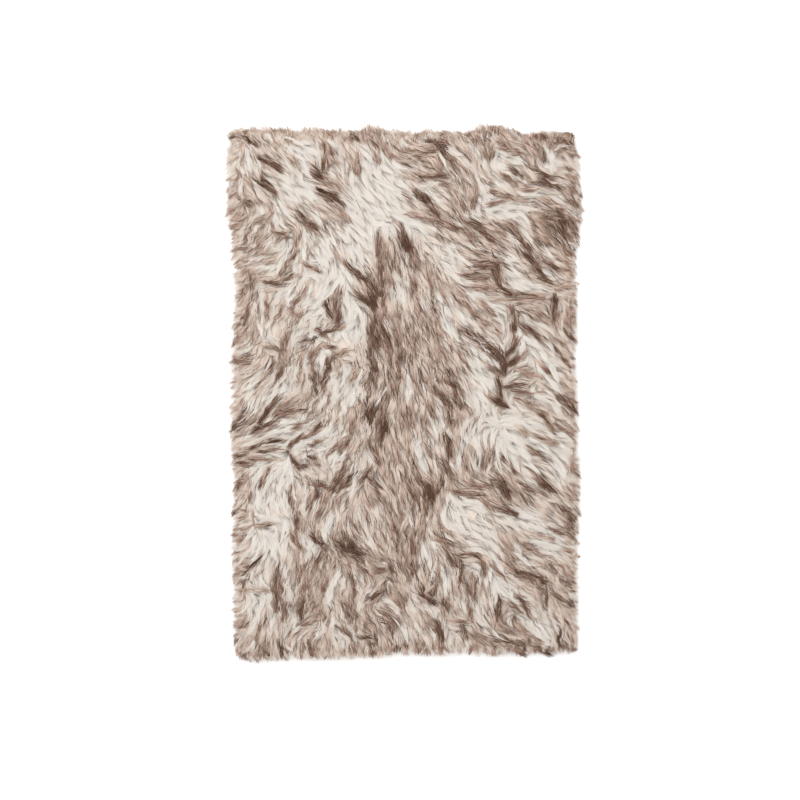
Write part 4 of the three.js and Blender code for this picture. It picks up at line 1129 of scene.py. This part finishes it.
def under_wool_material(colours):
    """Under-wool: the dye's pale lower half with its painted root shade, mottled on Object coordinates,
    with a fine matted bump.
    """
    material, graph, shader = shader_material("Under-wool", 0.9, 0.1)
    place = graph.nodes.new("ShaderNodeTexCoord").outputs["Object"]
    mottle = graph.noise(place, 60.0, 4.0)
    tone = graph.times(mottle, 0.55)
    # Low shares along bring in the dye's painted root shade, as deep in the pile.
    along = graph.plus(graph.times(mottle, 0.4), 0.28)
    graph.feed(shader.inputs["Base Color"], dyed(graph, colours, tone, along))
    matted = graph.noise(place, 420.0, 3.0)
    graph.feed(shader.inputs["Normal"], graph.bump(matted, 0.6, 0.001))
    return material


def ground_cloth_material():
    """Knitted ground cloth: rows of loops 2 mm apart, as two crossed waves in the bump, and a little in the
    colour as painted shade in the hollows between the loops."""
    material, graph, shader = shader_material("Knitted ground cloth", 0.88, 0.15)
    place = graph.nodes.new("ShaderNodeTexCoord").outputs["Object"]
    knit = graph.times(graph.bands(place, "X", 78.0), graph.bands(place, "Y", 105.0))
    # Painted shade: the colour darkens into the knit's hollows.
    ramp = graph.node("ShaderNodeValToRGB", {"Fac": knit})
    ramp.color_ramp.elements[0].color = linear(KNIT_SHADED_HOLLOW)
    ramp.color_ramp.elements[1].color = linear(KNIT_LOOP)
    graph.feed(shader.inputs["Base Color"], ramp.outputs["Color"])
    graph.feed(shader.inputs["Normal"], graph.bump(knit, 0.7, 0.0006))
    return material


# Closed slabs: the ground cloth and the under-wool. Faces across and along, and how far inside the hair
# line each ends.

CLOTH_FACES, CLOTH_INSIDE = (40, 60), 0.014
CLOTH_THICKNESS = 0.0024
WOOL_FACES, WOOL_INSIDE = (60, 92), 0.020
WOOL_SHARE = 0.67
WOOL_BOTTOM, WOOL_LEAST_TOP = 0.0027, 0.0036

# How far a slab's corner is drawn in, and how near the corner that stays.
CORNER_PULL, CORNER_POWER = 0.011, 20


def plan_grid(faces, inside):
    """The rug's outline, drawn in by the length inside, as a grid of places: u and v run from -1 to 1, and
    a place lies between the hair lines of both sides at its share."""
    columns, rows = faces
    u, v = np.meshgrid(np.linspace(-1, 1, columns + 1), np.linspace(-1, 1, rows + 1))
    x, y = u * HALF_WIDTH, v * HALF_LENGTH
    depths = side_depths(x, y)
    left, right = x - depths["left"] + inside, x + depths["right"] - inside
    low, high = y - depths["bottom"] + inside, y + depths["top"] - inside
    pull = CORNER_PULL * np.abs(u * v) ** CORNER_POWER
    place_x = left + (right - left) * (u + 1) / 2 - np.sign(u) * pull
    place_y = low + (high - low) * (v + 1) / 2 - np.sign(v) * pull
    return place_x, place_y


def closed_slab(name, x, y, top, bottom):
    """A closed slab over a grid of places: an upper sheet at the heights top, a lower one at the heights
    bottom with its faces turned down, and a wall of quads round the edge."""
    rows, columns = x.shape
    index = np.arange(rows * columns).reshape(rows, columns)
    upper = np.stack([index[:-1, :-1], index[:-1, 1:], index[1:, 1:], index[1:, :-1]], axis=2)
    upper = upper.reshape(-1, 4)
    lower = upper[:, ::-1] + rows * columns
    edge = np.concatenate([index[0, :-1], index[:-1, -1], index[-1, :0:-1], index[:0:-1, 0]])
    following = np.roll(edge, -1)
    wall = np.stack([edge + rows * columns, following + rows * columns, following, edge], axis=1)
    faces = np.concatenate([upper, lower, wall])
    corners = np.concatenate([
        np.stack([x.ravel(), y.ravel(), top.ravel()], axis=1),
        np.stack([x.ravel(), y.ravel(), bottom.ravel()], axis=1),
    ])
    mesh = bpy.data.meshes.new(name)
    mesh.from_pydata(corners.tolist(), [], faces.tolist())
    mesh.update()
    mesh.polygons.foreach_set("use_smooth", np.ones(len(faces), dtype=bool))
    return mesh


# Operators: one for each piece or group of like pieces, and one for the stage.

SEEDS = {"combed_locks": 101, "tufts": 202, "rim_hair": 303, "stray_wisps": 404}

# The stage: the floor's half side, height and colour, the sky's colour, the lamp, and the height in
# the pile at which the photograph's scale holds.
FLOOR_REACH, FLOOR_HEIGHT = 6.0, -0.0004
FLOOR_COLOUR = (0.93, 0.93, 0.93, 1.0)
SKY_COLOUR = (1.0, 0.985, 0.968, 1.0)
LAMP_SIZE = 2.4
LAMP_PLACE = (-0.4, 0.7, 2.3)
LAMP_TURN = (-17, -10, 0)
SCALE_HEIGHT = 0.012

charts_made = {}


def rug_charts():
    """The charts for the pile level that is set, worked out on first use."""
    level = bpy.context.scene.fur_rug_pile.level
    if level not in charts_made:
        charts_made[level] = Charts(level)
    return charts_made[level]


def hair_piece(context, name, make_locks, per_wisp, width_share):
    """One piece of hair: its locks, their strands as ribbons of a share of the set width, its finish."""
    settings = context.scene.fur_rug_pile
    charts = rug_charts()
    rng = np.random.default_rng(SEEDS[name])
    paths, tone, lean = strand_paths(make_locks(settings, charts, rng), charts, rng, per_wisp)
    mesh = ribbon_mesh(name, paths, tone, lean, settings.strand_width * width_share, rng)
    return piece_of(mesh, hair_material(context.scene.fur_rug_colours))


class FURRUG_OT_under_wool(bpy.types.Operator):
    """Makes the dense under-wool between the hairs' roots, a lumpy slab two thirds as high as the pile"""

    bl_idname = "furrug.under_wool"
    bl_label = "Under-wool"

    def execute(self, context):
        x, y = plan_grid(WOOL_FACES, WOOL_INSIDE)
        lumps = drifting(x, y, 0.0, WOOL_DRIFTS)
        top = np.maximum(WOOL_SHARE * rug_charts().level.at(x, y) + lumps, WOOL_LEAST_TOP)
        mesh = closed_slab("under_wool", x, y, top, np.full_like(x, WOOL_BOTTOM))
        piece = piece_of(mesh, under_wool_material(context.scene.fur_rug_colours))
        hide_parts(PILE_NODE)
        return {"FINISHED"}


class FURRUG_OT_ground_cloth(bpy.types.Operator):
    """Makes the knitted ground cloth, one flat cut sheet that lies on the floor under the hair"""

    bl_idname = "furrug.ground_cloth"
    bl_label = "Ground cloth"

    def execute(self, context):
        x, y = plan_grid(CLOTH_FACES, CLOTH_INSIDE)
        top = drifting(x, y, CLOTH_THICKNESS, CLOTH_DRIFTS)
        mesh = closed_slab("ground_cloth", x, y, top, np.zeros_like(x))
        piece = piece_of(mesh, ground_cloth_material())
        return {"FINISHED"}


class FURRUG_OT_combed_locks(bpy.types.Operator):
    """Makes the little combed locks that cover the rug, in pieces from the top of the photograph down"""

    bl_idname = "furrug.combed_locks"
    bl_label = "Combed locks"

    pieces = 4

    def execute(self, context):
        settings = context.scene.fur_rug_pile
        charts = rug_charts()
        rng = np.random.default_rng(SEEDS["combed_locks"])
        combed = strand_paths(little_locks(settings, charts, rng), charts, rng)
        cover = cover_locks(settings, charts, bare_places(combed[0]), rng)
        covering = strand_paths(cover, charts, rng)
        strands = [np.concatenate(pair) for pair in zip(combed, covering)]
        material = hair_material(context.scene.fur_rug_colours)
        for number, part in enumerate(np.array_split(np.arange(len(strands[0])), self.pieces), 1):
            paths, tone, lean = (values[part] for values in strands)
            mesh = ribbon_mesh(f"combed_locks_{number}", paths, tone, lean, settings.strand_width, rng)
            piece_of(mesh, material)
        return {"FINISHED"}


class FURRUG_OT_stray_wisps(bpy.types.Operator):
    """Makes the thin brown-tipped wisps that lie over the combed locks"""

    bl_idname = "furrug.stray_wisps"
    bl_label = "Stray wisps"

    def execute(self, context):
        hair_piece(context, "stray_wisps", stray_wisps, STRAY_STRANDS, 0.75)
        return {"FINISHED"}


class FURRUG_OT_tufts(bpy.types.Operator):
    """Makes the tufts, where hair runs together and its dark tips gather"""

    bl_idname = "furrug.tufts"
    bl_label = "Tufts"

    def execute(self, context):
        hair_piece(context, "tufts", tuft_locks, TUFT_STRANDS, 0.8)
        return {"FINISHED"}


class FURRUG_OT_rim_hair(bpy.types.Operator):
    """Makes the hair that falls over the ground cloth's edge and ends in the ragged hair line"""

    bl_idname = "furrug.rim_hair"
    bl_label = "Rim hair"

    def execute(self, context):
        hair_piece(context, "rim_hair", rim_locks, LOCK_STRANDS, 0.75)
        return {"FINISHED"}


class FURRUG_OT_stage(bpy.types.Operator):
    """Makes the pale floor, the soft light and the camera straight above the rug"""

    bl_idname = "furrug.stage"
    bl_label = "Stage"

    def execute(self, context):
        scene = context.scene
        settings = scene.fur_rug_stage
        mesh = bpy.data.meshes.new("floor")
        signs = ((-1, -1), (1, -1), (1, 1), (-1, 1))
        corners = [(across * FLOOR_REACH, along * FLOOR_REACH, FLOOR_HEIGHT) for across, along in signs]
        mesh.from_pydata(corners, [], [(0, 1, 2, 3)])
        floor = bpy.data.objects.new("floor", mesh)
        scene.collection.objects.link(floor)
        material, _, shader = shader_material("Pale floor", 0.9, 0.0)
        shader.inputs["Base Color"].default_value = FLOOR_COLOUR
        mesh.materials.append(material)

        world = bpy.data.worlds.new("Soft sky")
        world.use_nodes = True
        background = world.node_tree.nodes["Background"]
        background.inputs["Color"].default_value = SKY_COLOUR
        background.inputs["Strength"].default_value = settings.sky
        scene.world = world

        light = bpy.data.lights.new("soft lamp", "AREA")
        light.shape = "DISK"
        light.size = LAMP_SIZE
        light.energy = settings.lamp_power
        lamp = bpy.data.objects.new("soft lamp", light)
        lamp.location = LAMP_PLACE
        lamp.rotation_euler = [math.radians(turn) for turn in LAMP_TURN]
        scene.collection.objects.link(lamp)

        view_x = (FRAME_MIDDLE - MIDDLE_ACROSS) * PIXEL
        view_y = (MIDDLE_DOWN - FRAME_MIDDLE) * PIXEL
        frame_width = 2 * FRAME_MIDDLE * PIXEL
        data = bpy.data.cameras.new("photo camera")
        data.lens = settings.lens
        distance = frame_width * settings.lens / data.sensor_width
        camera = bpy.data.objects.new("photo camera", data)
        camera.location = (view_x, view_y, distance + SCALE_HEIGHT)
        scene.collection.objects.link(camera)
        scene.camera = camera
        scene.view_settings.view_transform = "Standard"
        return {"FINISHED"}


class FURRUG_PT_panel(bpy.types.Panel):
    """Lists the rug's settings and the operators that make its pieces"""

    bl_idname = "FURRUG_PT_panel"
    bl_label = "Fur rug"
    bl_space_type = "VIEW_3D"
    bl_region_type = "UI"
    bl_category = "Fur rug"

    def draw(self, context):
        for group in SETTINGS:
            settings = getattr(context.scene, group)
            box = self.layout.box()
            for name in settings.__annotations__:
                box.prop(settings, name)
        for operator in OPERATORS:
            self.layout.operator(operator.bl_idname)


OPERATORS = (
    FURRUG_OT_under_wool, FURRUG_OT_combed_locks, FURRUG_OT_stray_wisps, FURRUG_OT_tufts,
    FURRUG_OT_rim_hair, FURRUG_OT_ground_cloth, FURRUG_OT_stage,
)
SETTINGS = {
    "fur_rug_pile": PileProperties,
    "fur_rug_colours": ColourProperties,
    "fur_rug_stage": StageProperties,
}


def register():
    for group in SETTINGS.values():
        bpy.utils.register_class(group)
    for operator in OPERATORS:
        bpy.utils.register_class(operator)
    bpy.utils.register_class(FURRUG_PT_panel)
    for name, group in SETTINGS.items():
        setattr(bpy.types.Scene, name, PointerProperty(type=group))


def unregister():
    for name in SETTINGS:
        delattr(bpy.types.Scene, name)
    bpy.utils.unregister_class(FURRUG_PT_panel)
    for operator in reversed(OPERATORS):
        bpy.utils.unregister_class(operator)
    for group in reversed(list(SETTINGS.values())):
        bpy.utils.unregister_class(group)


def main():
    register()
    bpy.ops.furrug.under_wool()
    bpy.ops.furrug.combed_locks()
    bpy.ops.furrug.stray_wisps()
    bpy.ops.furrug.tufts()
    bpy.ops.furrug.rim_hair()
    bpy.ops.furrug.ground_cloth()
    bpy.ops.furrug.stage()


if __name__ == "__main__":
    main()
